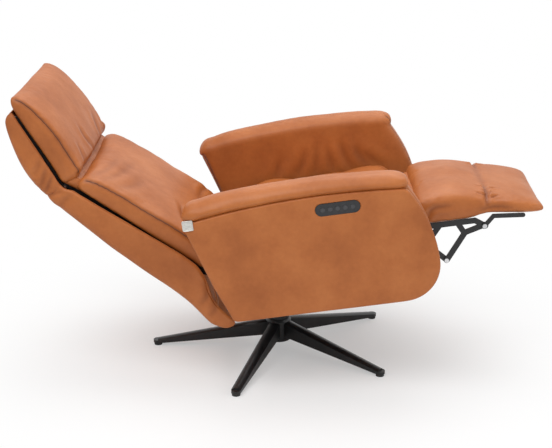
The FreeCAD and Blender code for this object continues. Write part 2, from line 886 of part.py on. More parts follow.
def make_cross_link(side, sign):
    y_low, y_high = span(sign, *layer(1))
    knee = (S.knee_x, S.knee_z)
    toe = (S.toe_x, S.toe_z)
    bend = (S.knee_x + 59, S.knee_z + 76)
    link(f"cross_link_{side}", SEAT, y_low, y_high, [([knee, bend, toe], S.link_width)],
         [(knee, S.rivet_radius + S.run_gap)])


def make_rest_frame():
    owner = body("rest_frame", SEAT)
    half = S.mech_plate_inner + S.mech_plate_thick + 4
    hinge = (S.rest_hinge_x, S.rest_hinge_z)
    rod = side_plane(owner, half)
    draw_circle(rod, hinge, S.rest_shaft_radius)
    pad(owner, rod, half * 2)
    level = S.rest_board_low - S.link_width / 2
    heel = (S.rest_hinge_x + 27, level)
    end = (S.toe_x - 25, level)
    toe = (S.toe_x, S.toe_z)
    tail = (S.rest_hinge_x + 50, level - 25)
    spur = (S.toe_x - 61, level - 26)
    for sign in (1, -1):
        y_low, y_high = span(sign, *layer(2))
        add_bars(owner, y_low, y_high,
                 [([hinge, heel, end], S.link_width),
                  ([tail, (S.rest_hinge_x + 71, level)], S.link_width),
                  ([spur, (S.toe_x - 74, level)], S.link_width),
                  ([end, toe], S.link_width), ([toe, (S.toe_x + 1, S.toe_z)], S.link_width + 4)])
        add_bores(owner, y_low, y_high, [(toe, S.rivet_radius)])


def make_flap_bracket(side, sign):
    y_low, y_high = span(sign, *layer(3))
    level = S.flap_low - 6
    link(f"flap_bracket_{side}", FLAP, y_low, y_high,
         [([(0, 0), (22, level - 6), (104, level)], 12), ([(0, 0), (1, 0)], S.link_width)],
         [((0, 0), S.rivet_radius + S.run_gap)])


def make_rivets():
    head = S.rivet_head_thick
    wide = S.rivet_head_radius
    inner = layer(0)[0]
    outer = layer(1)[1] + S.part_gap
    headed_pins("knee_rivets", SEAT, [(S.knee_x, S.knee_z)], inner, outer, S.rivet_radius,
                [(inner - head, inner, wide), (outer, outer + head, wide)])
    inner = layer(2)[0]
    outer = layer(3)[1] + S.part_gap
    headed_pins("toe_rivets", SEAT, [(S.toe_x, S.toe_z)], inner, outer, S.rivet_radius,
                [(outer, outer + head, wide)])


def make_rest_board():
    block("rest_board", SEAT, S.rest_board_rear, S.rest_board_front, -S.rest_board_half - 18,
          S.rest_board_half + 18, S.rest_board_low, S.rest_board_low + S.rest_board_thick)


def make_rest_cushion():
    shares = [
        (0.00, 0.10, 0.15, 0.80, 1.04),
        (0.07, 0.05, 0.02, 0.98, 1.26),
        (0.38, 0.03, 0.00, 1.00, 1.33),
        (0.62, 0.03, 0.00, 0.93, 1.26),
        (0.85, 0.04, 0.00, 0.78, 1.04),
        (0.96, 0.05, 0.00, 0.60, 0.82),
        (1.00, 0.08, 0.09, 0.41, 0.60),
    ]
    cushion("rest_cushion", SEAT, "x", S.rest_rear, S.rest_front - S.rest_rear, S.rest_half,
            S.rest_board_low + S.rest_board_thick + S.part_gap, S.rest_cushion_high, shares)


def make_flap():
    low = S.flap_low
    front = S.flap_length * 0.7
    block("flap_board", FLAP, S.flap_cushion_low * 2, front, -S.flap_board_half, S.flap_board_half, low,
          low + S.flap_board_thick)
    shares = [
        (0.00, 0.07, 0.10, 0.90, 1.25),
        (0.07, 0.04, 0.00, 0.92, 1.30),
        (0.40, 0.03, 0.00, 0.92, 1.30),
        (0.73, 0.04, 0.00, 0.78, 1.15),
        (0.92, 0.08, 0.00, 0.52, 0.75),
        (1.00, 0.21, 0.05, 0.32, 0.45),
    ]
    cushion("flap_cushion", FLAP, "x", S.flap_cushion_low, S.flap_length, S.rest_half,
            low + S.flap_board_thick + S.part_gap, S.flap_cushion_high, shares)


# Back

def stile_layer():
    """The y range of the back stiles, just outside the mechanism plates."""
    inner = S.mech_plate_inner + S.mech_plate_thick + 1
    return inner, inner + S.stile_thick


def head_layer():
    """The y range of the head plates, just outside the back stiles."""
    inner = stile_layer()[1] + 1
    return inner, inner + S.head_plate_thick


def make_back_frame():
    owner = body("back_frame", BACK)
    front = S.stile_front - S.stile_width
    for low in (S.back_rail_low, S.back_rail_high):
        half = shell_half((low + S.back_rail_size) / S.shell_high) - S.shell_wall
        add_tube(owner, front - S.back_rail_size, front, low, low + S.back_rail_size, half)
    middle = S.stile_front - S.stile_width / 2
    hinge = (S.head_hinge_x, S.head_hinge_z)
    points = [(0, 0), (middle, 105), (middle, S.head_hinge_z - 20)]
    for sign in (1, -1):
        y_low, y_high = span(sign, *stile_layer())
        add_bars(owner, y_low, y_high, [(points, S.stile_width), ([points[-1], hinge], 24)])
        add_bores(owner, y_low, y_high, [((0, 0), S.back_pin_radius + S.run_gap), (hinge, S.head_pin_radius)])
    place = crank_place()
    pin = (place.x, place.z)
    y_high = S.actuator_y - S.rod_radius - 1
    y_low = y_high - S.stile_thick
    add_bars(owner, y_low, y_high, [([(front - 10, S.back_rail_low + 10), pin], 18)])
    add_bores(owner, y_low, y_high, [(pin, S.rivet_radius)])


def make_hinge_pins():
    inner = S.mech_plate_inner
    outer = stile_layer()[1] + S.part_gap
    headed_pins("back_pins", SEAT, [(S.back_hinge_x, S.back_hinge_z)], inner, outer, S.back_pin_radius,
                [(outer, outer + 4, S.back_pin_radius + 4)])
    inner = stile_layer()[0]
    outer = head_layer()[1] + S.part_gap
    headed_pins("head_pins", BACK, [(S.head_hinge_x, S.head_hinge_z)], inner, outer, S.head_pin_radius,
                [(outer, outer + 3, S.head_pin_radius + 3)])


SHELL_SECTIONS = [
    (-0.164, -1.00, -0.86),
    (-0.113, -1.20, -0.80),
    (-0.059, -1.28, -0.75),
    (0.031, -1.19, -0.58),
    (0.117, -1.13, -0.20),
    (0.186, -1.10, -0.04),
    (0.256, -1.08, 0.00),
    (0.400, -1.06, -0.04),
    (0.525, -1.03, -0.09),
    (0.629, -1.00, -0.13),
    (0.750, -0.93, -0.17),
    (0.875, -0.86, -0.20),
    (1.000, -0.79, -0.20),
]


def shell_half(share):
    """Half the back shell's width at a share of its height above the hinge."""
    return S.back_half - (S.back_half - S.back_half_top) * share


def shell_section(owner, share, rear, front, inset):
    """One level of the back shell: a box open to neither side, with round rear corners."""
    drawing = sketch(owner, "XY_Plane", S.shell_high * share)
    half = shell_half(share) - inset
    back = S.shell_deep * rear + inset
    fore = S.shell_deep * front + inset * 2.5
    round_off = (fore - back) * 0.14
    near = round_off * 0.293
    draw_outline(drawing, [
        (fore, -half), (fore, half), (back + round_off, half),
        (back + near, half - near, back, half - round_off),
        (back, -half + round_off),
        (back + near, -half + near, back + round_off, -half)])
    return drawing


def make_back_shell():
    owner = body("back_shell", BACK)
    outer = [shell_section(owner, *section, 0) for section in SHELL_SECTIONS]
    skin = owner.newObject("PartDesign::AdditiveLoft", "back_shell_skin")
    skin.Profile = outer[0]
    skin.Sections = outer[1:]
    skin.Ruled = True
    inner = [shell_section(owner, *section, S.shell_wall) for section in SHELL_SECTIONS[1:]]
    hollow = owner.newObject("PartDesign::SubtractiveLoft", "back_shell_hollow")
    hollow.Profile = inner[0]
    hollow.Sections = inner[1:]
    hollow.Ruled = True


def board(name, frame, front, low, high, low_half, high_half):
    """A thin board across the chair, whose width may change with its height."""
    owner = body(name, frame)
    drawing = sketch(owner, "YZ_Plane", front)
    draw_outline(drawing, [(-low_half, low), (low_half, low), (high_half, high), (-high_half, high)])
    pad(owner, drawing, S.board_thick)


def make_back_board():
    low = S.back_rail_low + S.back_rail_size + 2
    high = S.shell_high - 12
    inset = S.shell_wall + 2
    board("back_board", BACK, S.stile_front, low, high, shell_half(low / S.shell_high) - inset,
          shell_half(high / S.shell_high) - inset)


def make_back_cushion():
    shares = [
        (0.00, 0.094, 0.32, 0.66, 0.70),
        (0.03, 0.076, 0.26, 0.86, 0.95),
        (0.13, 0.069, 0.00, 1.02, 1.12),
        (0.24, 0.072, 0.00, 1.16, 1.32),
        (0.36, 0.080, 0.00, 1.12, 1.34),
        (0.48, 0.087, 0.00, 1.06, 1.30),
        (0.62, 0.090, 0.00, 0.98, 1.20),
        (0.77, 0.094, 0.00, 0.92, 1.10),
        (0.90, 0.098, 0.00, 0.80, 0.92),
        (0.97, 0.105, 0.00, 0.70, 0.80),
        (1.00, 0.130, 0.00, 0.50, 0.56),
    ]
    low = S.back_cushion_low
    cushion("back_cushion", BACK, "z", low, S.head_hinge_z - S.back_cushion_top_gap - low, S.back_half,
            S.stile_front + S.board_thick + S.part_gap, S.back_cushion_deep, shares)


def crank_place():
    """The back crank's pin in the back frame: straight below the hinge at half travel."""
    turn = Rotation(Vector(0, 1, 0), S.back_angle.value - S.back_swing.value / 2)
    return turn.multVec(Vector(0, 0, -S.back_crank.value))


def crank_in_seat():
    """The same pin at rest, in the seat frame."""
    turn = Rotation(Vector(0, 1, 0), -S.back_swing.value / 2)
    return BACK_HINGE + turn.multVec(Vector(0, 0, -S.back_crank.value))


def make_crank_pin():
    place = crank_place()
    half = S.rod_radius
    inner = S.actuator_y - half - 1 - S.stile_thick
    owner = body("crank_pin", BACK)
    drawing = side_plane(owner, S.actuator_y + half + 2)
    draw_circle(drawing, (place.x, place.z), S.rivet_radius)
    pad(owner, drawing, S.actuator_y + half + 2 - inner)


def make_back_rod():
    place = crank_in_seat()
    owner = body("back_rod", SEAT)
    half = S.rod_radius
    eye = side_plane(owner, S.actuator_y + half)
    draw_circle(eye, (place.x, place.z), S.rod_eye_radius)
    pad(owner, eye, half * 2)
    stem = sketch(owner, "YZ_Plane", place.x)
    draw_circle(stem, (S.actuator_y, place.z), S.rod_radius)
    pad(owner, stem, 130)
    hole = side_plane(owner, S.actuator_y + half)
    draw_circle(hole, (place.x, place.z), S.rivet_radius + S.rod_eye_play)
    drill(owner, hole, half * 2)


def make_back_actuator():
    place = crank_in_seat()
    mount = S.front_tube_x - 12
    owner = body("back_actuator", SEAT)
    tube = sketch(owner, "YZ_Plane", S.actuator_rear)
    draw_circle(tube, (S.actuator_y, place.z), S.actuator_radius)
    draw_circle(tube, (S.actuator_y, place.z), S.rod_radius + S.run_gap)
    pad(owner, tube, mount - S.actuator_rear - 50)
    motor = sketch(owner, "YZ_Plane", mount - 50)
    draw_circle(motor, (S.actuator_y, place.z), S.actuator_radius + 6)
    pad(owner, motor, 50)


# Head

def make_head_frame():
    owner = body("head_frame", HEAD)
    front = 4 - S.head_plate_width
    add_tube(owner, front - S.back_rail_size, front, S.head_rail_low, S.head_rail_low + S.back_rail_size,
             S.head_half - S.shell_wall)
    middle = 4 - S.head_plate_width / 2
    foot = (middle - 3, 28)
    for sign in (1, -1):
        y_low, y_high = span(sign, *head_layer())
        add_bars(owner, y_low, y_high,
                 [([(0, 0), foot], S.head_pin_radius * 3.2),
                  ([foot, (middle, 60), (middle, S.head_plate_high - 12)], S.head_plate_width)])
        add_bores(owner, y_low, y_high, [((0, 0), S.head_pin_radius + S.run_gap)])


def make_head_shell():
    owner = body("head_shell", HEAD)
    half = S.head_half
    wall = S.shell_wall
    outer = side_plane(owner, half)
    draw_outline(outer, [(-52, 12), (-64, 84, -56, 155), (-46, 197), (-32, 240), (-20, 250), (3, 250), (3, 14)])
    pad(owner, outer, half * 2)
    inner = side_plane(owner, half - wall)
    draw_outline(inner, [(-52 + wall, 5), (-64 + wall, 84, -56 + wall, 155), (-46 + wall, 197),
                         (-32 + wall, 234), (-20 + wall, 240), (20, 240), (20, 5)])
    drill(owner, inner, (half - wall) * 2)


def make_head_board():
    half = S.head_half - S.shell_wall - 2
    board("head_board", HEAD, 4, 18, S.head_plate_high + 4, half, half)


def make_head_cushion():
    shares = [
        (0.00, 0.035, 0.00, 0.80, 0.86),
        (0.04, 0.018, 0.00, 0.98, 1.10),
        (0.23, 0.018, 0.00, 1.08, 1.26),
        (0.39, 0.018, 0.00, 1.09, 1.27),
        (0.54, 0.018, 0.00, 1.05, 1.22),
        (0.71, 0.018, 0.00, 0.93, 1.10),
        (0.86, 0.020, 0.00, 0.72, 0.90),
        (0.96, 0.030, 0.12, 0.53, 0.64),
        (1.00, 0.055, 0.24, 0.36, 0.40),
    ]
    cushion("headrest_cushion", HEAD, "z", S.head_cushion_low, S.head_cushion_high, S.head_half,
            4 + S.board_thick + S.part_gap, S.head_cushion_deep, shares)


# Arms

def arm_outline(inset, drop):
    """The arm's side outline, drawn in all round and lowered along the top."""
    low = S.arm_low + inset
    front = S.arm_front_x - inset
    radius = S.arm_front_x - S.arm_corner_x - inset
    slant = radius * 0.7071
    bulge_x = (S.arm_front_top_x + S.arm_front_x) / 2 + 18 - inset
    bulge_z = (S.arm_front_top + S.arm_corner_z) / 2
    return [
        (S.arm_rear_low + inset * 1.5, low),
        (S.arm_corner_x, low),
        (S.arm_corner_x + slant, S.arm_corner_z - slant, front, S.arm_corner_z),
        (bulge_x, bulge_z, S.arm_front_top_x - inset + drop * 0.45, S.arm_front_top - drop),
        (S.arm_mid_x, S.arm_mid_top - drop, S.arm_rear_high + inset * 1.5, S.arm_rear_top - drop),
    ]


def make_arm_layers(side, sign):
    core = S.arm_inner + S.core_thick
    bores = [(place, S.arm_bolt_radius) for place in arm_bolt_places()]
    plate(f"arm_core_{side}", SEAT, *span(sign, S.arm_inner, core), arm_outline(S.core_inset, S.pad_drop), bores)
    owner = plate(f"arm_panel_{side}", SEAT, *span(sign, core, core + S.panel_thick), arm_outline(0, 0))
    if sign < 0:
        recess = side_plane(owner, -arm_outer() + S.keypad_deep)
        half = S.keypad_length / 2 - S.keypad_high / 2
        draw_bar(recess, (S.keypad_x - half, S.keypad_z), (S.keypad_x + half, S.keypad_z), S.keypad_high)
        drill(owner, recess, S.keypad_deep)


def arm_outer():
    """Distance of the arms' outer faces from the middle."""
    return S.arm_inner + S.core_thick + S.panel_thick


def arm_top_height(x, drop):
    """Height of the arm's top arc at x, from the circle through its three named points."""
    rear = Vector(S.arm_rear_high.value + S.core_inset.value * 1.5, S.arm_rear_top.value - drop, 0)
    top = Vector(S.arm_mid_x.value, S.arm_mid_top.value - drop, 0)
    front_x = S.arm_front_top_x.value - S.core_inset.value + drop * 0.45
    front = Vector(front_x, S.arm_front_top.value - drop, 0)
    circle = Part.Arc(rear, top, front).toShape().Curve
    centre = circle.Center
    return centre.y + (circle.Radius ** 2 - (x - centre.x) ** 2) ** 0.5


def make_arm_pad(side, sign):
    gap = 1.0
    drop = S.pad_drop.value
    middle = sign * (S.arm_inner.value + S.core_thick.value / 2)
    half = S.core_thick.value / 2 - 2.2
    rear = S.arm_rear_high.value
    front = S.arm_front_top_x.value
    heights = [(rear - 3, 10, 20, 6, 0.8), (rear + 8, 24, 32, 0, 1), (rear + 80, 28, 38, 0, 1.2),
               (rear + 160, 29, 41, 0, 1.2), (rear + 250, 29, 42, 0, 1.2), (rear + 340, 29, 42, 0, 1.2),
               (rear + 430, 29, 42, 0, 1.2), (rear + 520, 28, 41, 0, 1.2), (front, 26, 37, 0, 1),
               (front + 12, 18, 27, 5, 0.8)]
    sections = []
    for x, edge, crown, lift, bulge in heights:
        low = arm_top_height(min(max(x, rear + 5), front), drop) + gap
        sections.append((x, half, low + lift, low + edge, low + crown, bulge, middle))
    soft(f"arm_pad_{side}", SEAT, "x", sections)


def make_keypad():
    gap = S.part_gap
    outer = -arm_outer() + 0.5
    floor = -arm_outer() + S.keypad_deep
    owner = body("keypad_housing", SEAT)
    drawing = side_plane(owner, floor)
    half = S.keypad_length / 2 - S.keypad_high / 2
    draw_bar(drawing, (S.keypad_x - half, S.keypad_z), (S.keypad_x + half, S.keypad_z),
             S.keypad_high - gap * 2)
    count = round(S.key_count.value)
    spots = [(S.keypad_x + S.key_pitch * (index - (count - 1) / 2), S.keypad_z) for index in range(count)]
    for spot in spots:
        draw_circle(drawing, spot, S.key_radius + gap)
    pad(owner, drawing, floor - outer)
    for index, spot in enumerate(spots, start=1):
        key = body(f"key_{index}", SEAT)
        drawing = side_plane(key, floor - 1.3)
        draw_circle(drawing, spot, S.key_radius)
        pad(key, drawing, S.keypad_deep - 1)


def make_tag():
    owner = body("arm_tag", SEAT)
    drawing = side_plane(owner, -arm_outer())
    half = S.tag_side / 2
    x, z = S.arm_rear_high + half + 2, S.arm_rear_top - half + 1
    draw_outline(drawing, rectangle(x - half, x + half, z - half, z + half))
    pad(owner, drawing, S.tag_thick)


# Motor and control box

def make_motor():
    inner, width = S.gearbox_inner, S.gearbox_width
    reach = S.gearbox_half
    owner = body("foot_gearbox", SEAT)
    drawing = side_plane(owner, inner + width)
    draw_outline(drawing, rectangle(S.drive_x - reach, S.drive_x + reach, S.drive_z - reach, S.drive_z + reach))
    draw_circle(drawing, (S.drive_x, S.drive_z), S.drive_tube_radius + S.run_gap)
    pad(owner, drawing, width)
    rear = S.front_tube_x + S.tube_deep + 6
    motor = body("foot_motor", SEAT)
    can = sketch(motor, "YZ_Plane", rear)
    draw_circle(can, (inner + width / 2, S.drive_z), S.motor_radius)
    pad(motor, can, S.drive_x - reach - rear)


def make_control_box():
    low = S.frame_low + S.tube_high
    rear = -S.control_length / 2 + 60
    block("control_box", SEAT, rear, rear + S.control_length, -beam_inner(), beam_inner(), low,
          low + S.control_high)
    inlet = body("power_inlet", SEAT)
    drawing = sketch(inlet, "YZ_Plane", rear - 12)
    draw_circle(drawing, (20, low + S.control_high / 2), S.inlet_radius)
    pad(inlet, drawing, 12)


make_star_base()
make_glides()
make_column()
make_swivel_plate()
make_plate_bolts()
make_tilt_shaft()
make_tilt_washers()
make_seat_frame()
make_arm_bolts()
both_sides(make_mechanism_plate)
make_wood_rails()
make_webbing()
make_seat_cushion()
make_drive_arms()
both_sides(make_cross_link)
make_rest_frame()
both_sides(make_flap_bracket)
make_rivets()
make_rest_board()
make_rest_cushion()
make_flap()
make_back_frame()
make_hinge_pins()
make_back_shell()
make_back_board()
make_back_cushion()
make_crank_pin()
make_back_rod()
make_back_actuator()
make_head_frame()
make_head_shell()
make_head_board()
make_head_cushion()
both_sides(make_arm_layers)
both_sides(make_arm_pad)
make_keypad()
make_tag()
make_motor()
make_control_box()
doc.recompute()

faults = []
for item in doc.Objects:
    if "Invalid" in item.State or "Error" in item.State:
        faults.append(f"{item.Name}: {item.State}")
for piece in PIECES:
    if piece.Shape.isNull() or not piece.Shape.isValid():
        faults.append(f"{piece.Label}: no valid shape")
if faults:
    raise SystemExit("\n".join(faults))

os.makedirs("parts", exist_ok=True)
for piece in PIECES:
    piece.Shape.exportStep(f"parts/{piece.Label}.step")
print(len(PIECES), "pieces written")
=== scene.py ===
import json
import math
import bmesh
import bpy
import numpy as np
from mathutils import Matrix, Vector, noise
from mathutils.bvhtree import BVHTree
from mathutils.kdtree import KDTree


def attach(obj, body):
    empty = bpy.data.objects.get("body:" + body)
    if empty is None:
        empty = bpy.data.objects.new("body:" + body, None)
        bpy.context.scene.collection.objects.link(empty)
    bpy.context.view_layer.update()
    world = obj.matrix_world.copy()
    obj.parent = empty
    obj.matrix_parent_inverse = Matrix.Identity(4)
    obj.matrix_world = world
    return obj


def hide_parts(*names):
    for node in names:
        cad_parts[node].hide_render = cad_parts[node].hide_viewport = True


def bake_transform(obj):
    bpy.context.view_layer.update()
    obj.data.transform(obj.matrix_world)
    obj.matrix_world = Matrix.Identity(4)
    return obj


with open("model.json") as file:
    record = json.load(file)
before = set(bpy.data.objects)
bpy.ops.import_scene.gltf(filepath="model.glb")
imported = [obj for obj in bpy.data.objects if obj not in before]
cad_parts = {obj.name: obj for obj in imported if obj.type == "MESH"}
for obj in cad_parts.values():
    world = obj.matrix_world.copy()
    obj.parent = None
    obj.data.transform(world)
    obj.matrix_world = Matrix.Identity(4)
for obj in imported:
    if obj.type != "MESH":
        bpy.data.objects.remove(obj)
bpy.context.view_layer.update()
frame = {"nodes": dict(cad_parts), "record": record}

# Every length is in metres. The points of a piece are in the frame of the part that carries it:
# SEAT from the tilt shaft, BACK from the back hinge, HEAD from the headrest hinge.
# A mesh that is placed is in the row frame, which is the frame of the whole part.
nodes = frame["nodes"]


def rot_y(degrees):
    return Matrix.Rotation(math.radians(degrees), 4, "Y")


def shift(x, y, z):
    return Matrix.Translation((x, y, z))


TILT_SHAFT = (-0.005, 0, 0.2)
SEAT_LEAN = -8
BACK_HINGE = (-0.115, 0, 0.12)
BACK_LEAN = -48.3
HEAD_HINGE = (-0.03, 0, 0.52)
HEAD_TURN = 25.5
SEAT = shift(*TILT_SHAFT) @ rot_y(SEAT_LEAN)
BACK = SEAT @ shift(*BACK_HINGE) @ rot_y(BACK_LEAN)
HEAD = BACK @ shift(*HEAD_HINGE) @ rot_y(HEAD_TURN)


# Mesh tools

CAP_SCALES = (0.86, 0.66, 0.44, 0.22, 0.04)
CLOTH_FRAMES = 20
CLOTH_PRESSURE = 4.0
WELT_SIDES = 8
# How much painted shade a seam's groove gets
SEAM_SHADE = 0.6
# A fold's ridge lies this many widths beside it, and its line of painted shade is this much of its width
RIDGE_OFFSET = 1.9
FOLD_LINE = 0.8
FOLD_SHADE_STRENGTH = 160


def smooth_step(value, low, high):
    t = np.clip((np.asarray(value, float) - low) / (high - low), 0, 1)
    return t * t * (3 - 2 * t)


def hump(value, centre, width):
    return np.exp(-((np.asarray(value, float) - centre) / width) ** 2)


def spline(knots, t):
    """Smooth values through rows of knots, the first column being the position."""
    knots = np.asarray(knots, float)
    x, y = knots[:, 0], knots[:, 1:]
    slope = np.gradient(y, x, axis=0)
    t = np.clip(np.atleast_1d(t), x[0], x[-1])
    i = np.clip(np.searchsorted(x, t) - 1, 0, len(x) - 2)
    h = (x[i + 1] - x[i])[:, None]
    s = ((t - x[i]) / h[:, 0])[:, None]
    return ((2 * s ** 3 - 3 * s ** 2 + 1) * y[i] + (s ** 3 - 2 * s ** 2 + s) * h * slope[i]
            + (-2 * s ** 3 + 3 * s ** 2) * y[i + 1] + (s ** 3 - s ** 2) * h * slope[i + 1])


def new_mesh(name, points, faces, place=None):
    """A mesh object from points in a carried frame, moved into the row frame."""
    mesh = bpy.data.meshes.new(name)
    mesh.from_pydata([tuple(p) for p in points], [], [tuple(f) for f in faces])
    if place is not None:
        mesh.transform(place)
    mesh.update()
    made = bpy.data.objects.new(name, mesh)
    bpy.context.scene.collection.objects.link(made)
    for face in mesh.polygons:
        face.use_smooth = True
    return made


def shrunk(ring):
    """Rings that shrink to the middle of an end ring."""
    middle = ring.mean(axis=0)
    return [middle + (ring - middle) * scale for scale in CAP_SCALES]


def rings_mesh(name, rings, place, caps=True):
    """Quads between rings of equal length, with the ends filled by shrinking rings."""
    rings = [np.asarray(ring, float) for ring in rings]
    if caps:
        rings = shrunk(rings[0])[::-1] + rings + shrunk(rings[-1])
    count = len(rings[0])
    last = (len(rings) - 1) * count
    faces = []
    for low in range(0, last, count):
        high = low + count
        for k in range(count):
            m = (k + 1) % count
            faces.append((low + k, low + m, high + m, high + k))
    if caps:
        faces.append(tuple(range(count))[::-1])
        faces.append(tuple(range(last, last + count)))
    made = new_mesh(name, np.vstack(rings), faces, place)
    fix_normals(made)
    return made


def fix_normals(obj):
    work = bmesh.new()
    work.from_mesh(obj.data)
    bmesh.ops.recalc_face_normals(work, faces=work.faces)
    work.to_mesh(obj.data)
    work.free()


def vertex_rows(mesh, kind):
    """One row per vertex of its place, "co", or its normal, "normal"."""
    out = np.empty(len(mesh.vertices) * 3)
    mesh.vertices.foreach_get(kind, out)
    return out.reshape(-1, 3)


def coords(obj):
    return vertex_rows(obj.data, "co")


def set_coords(obj, points):
    obj.data.vertices.foreach_set("co", np.asarray(points, float).ravel())
    obj.data.update()


def push(obj, amount):
    """Move each point along its normal by an amount."""
    set_coords(obj, coords(obj) + vertex_rows(obj.data, "normal") * amount[:, None])


def bake(obj):
    """Apply the object's modifiers."""
    depsgraph = bpy.context.evaluated_depsgraph_get()
    done = bpy.data.meshes.new_from_object(obj.evaluated_get(depsgraph))
    obj.modifiers.clear()
    obj.data = done
    for face in done.polygons:
        face.use_smooth = True


def subdivide(obj):
    added = obj.modifiers.new("smooth", "SUBSURF")
    added.levels = 1
    bake(obj)


def remesh(obj, size):
    added = obj.modifiers.new("remesh", "REMESH")
    added.mode = "VOXEL"
    added.voxel_size = size
    bake(obj)


def relax(obj, rounds):
    added = obj.modifiers.new("relax", "SMOOTH")
    added.iterations = rounds
    bake(obj)


def puff(obj, cap, voxel):
    """Remesh the cushion, blow it up as cloth and cap how far a point moves."""
    remesh(obj, voxel)
    rest = coords(obj)
    cloth = obj.modifiers.new("cloth", "CLOTH")
    settings = cloth.settings
    settings.quality = 3
    settings.mass = 0.4
    settings.tension_stiffness = settings.compression_stiffness = 12
    settings.shear_stiffness = 6
    settings.bending_stiffness = 0.8
    settings.use_pressure = True
    settings.uniform_pressure_force = CLOTH_PRESSURE
    settings.effector_weights.gravity = 0
    cloth.point_cache.frame_start = 1
    cloth.point_cache.frame_end = CLOTH_FRAMES
    scene = bpy.context.scene
    for number in range(1, CLOTH_FRAMES + 1):
        scene.frame_set(number)
    depsgraph = bpy.context.evaluated_depsgraph_get()
    blown = obj.evaluated_get(depsgraph).to_mesh()
    moved = vertex_rows(blown, "co") - rest
    length = np.maximum(np.linalg.norm(moved, axis=1), 1e-9)
    obj.modifiers.clear()
    set_coords(obj, rest + moved * (np.minimum(length, cap) / length)[:, None])
    scene.frame_set(1)


def tube(name, path, radius):
    """A thin round welt along a path in the row frame."""
    ahead = np.roll(path, -1, 0) - np.roll(path, 1, 0)
    ahead[0] = path[1] - path[0]
    ahead[-1] = path[-1] - path[-2]
    ahead /= np.maximum(np.linalg.norm(ahead, axis=1), 1e-9)[:, None]
    side = np.cross(ahead, [0.0, 0.0, 1.0])
    steep = np.linalg.norm(side, axis=1) < 0.15
    side[steep] = np.cross(ahead[steep], [0.0, 1.0, 0.0])
    side /= np.linalg.norm(side, axis=1)[:, None]
    up = np.cross(side, ahead)
    angles = np.arange(WELT_SIDES) * 2 * math.pi / WELT_SIDES
    sideways = np.cos(angles)[:, None]
    upwards = np.sin(angles)[:, None]
    rings = [path[i] + radius * (sideways * side[i] + upwards * up[i]) for i in range(len(path))]
    return rings_mesh(name, rings, None)


def along_surface(obj, path):
    """The path laid on the object's surface."""
    tree = BVHTree.FromObject(obj, bpy.context.evaluated_depsgraph_get())
    return np.array([tree.find_nearest(Vector(point))[0] for point in path])


def nearest(points, path, reach):
    """Each point's distance to a path and its nearest path point. Beyond the reach it says 1 m."""
    tree = KDTree(len(path))
    for i, point in enumerate(path):
        tree.insert(Vector(point), i)
    tree.balance()
    distance = np.full(len(points), 1.0)
    index = np.zeros(len(points), int)
    above = points > path.min(axis=0) - reach
    below = points < path.max(axis=0) + reach
    for i in np.nonzero(np.all(above & below, axis=1))[0]:
        _, index[i], distance[i] = tree.find(Vector(points[i]))
    return distance, index


def groove(obj, path, depth, width):
    """Press a seam line into the surface and paint shade along it."""
    near, _ = nearest(coords(obj), path, width * 3)
    amount = hump(near, 0, width)
    push(obj, -depth * amount)
    shade(obj, amount * SEAM_SHADE)


def shade(obj, amount):
    """Add to the painted shade of creases and seams that the leather material reads."""
    mesh = obj.data
    layer = mesh.attributes.get("crease") or mesh.attributes.new("crease", "FLOAT", "POINT")
    old = np.empty(len(mesh.vertices))
    layer.data.foreach_get("value", old)
    layer.data.foreach_set("value", np.clip(np.maximum(old, amount), 0, 1))


def rumple(obj, size, height, seed):
    """Soft uneven swelling, as of filled leather."""
    start = Vector((seed, seed * 2, 0))
    bump = np.array([noise.noise(Vector(point) * (1 / size) + start) for point in coords(obj)])
    push(obj, bump * height)


def resample(path, step):
    """Even steps along a path."""
    path = np.asarray(path, float)
    gaps = np.linalg.norm(np.diff(path, axis=0), axis=1)
    far = np.concatenate([[0], np.cumsum(gaps)])
    count = max(2, int(round(far[-1] / step)) + 1)
    want = np.linspace(0, far[-1], count)
    return np.column_stack([np.interp(want, far, path[:, k]) for k in range(path.shape[1])])


def to_row(place, points):
    """Points in a carried frame, moved into the row frame."""
    matrix = np.array(place)
    return np.asarray(points, float) @ matrix[:3, :3].T + matrix[:3, 3]


# Materials

def shader(name):
    """A material with its node tree and its surface node."""
    made = bpy.data.materials.new(name)
    made.use_nodes = True
    tree = made.node_tree
    return made, tree, tree.nodes["Principled BSDF"]


def add(tree, kind, **values):
    """A new node, each value set on the input of that name or else on the node itself."""
    made = tree.nodes.new(kind)
    for key, value in values.items():
        if key in made.inputs:
            made.inputs[key].default_value = value
        else:
            setattr(made, key, value)
    return made


def noise_node(tree, scale, detail=4.0, roughness=0.55):
    place = tree.nodes.get("place") or tree.nodes.new("ShaderNodeTexCoord")
    place.name = "place"
    made = add(tree, "ShaderNodeTexNoise", Scale=scale, Detail=detail, Roughness=roughness)
    tree.links.new(place.outputs["Object"], made.inputs["Vector"])
    return made


def ramp(tree, source, stops):
    made = tree.nodes.new("ShaderNodeValToRGB")
    elements = made.color_ramp.elements
    while len(elements) < len(stops):
        elements.new(0.5)
    for element, (position, colour) in zip(elements, stops):
        element.position = position
        element.color = (*colour, 1)
    tree.links.new(source, made.inputs["Fac"])
    return made


def multiply(tree, first, second, factor=1.0):
    made = tree.nodes.new("ShaderNodeMix")
    made.data_type = "RGBA"
    made.blend_type = "MULTIPLY"
    made.inputs["Factor"].default_value = factor
    tree.links.new(first, made.inputs["A"])
    tree.links.new(second, made.inputs["B"])
    return made.outputs["Result"]


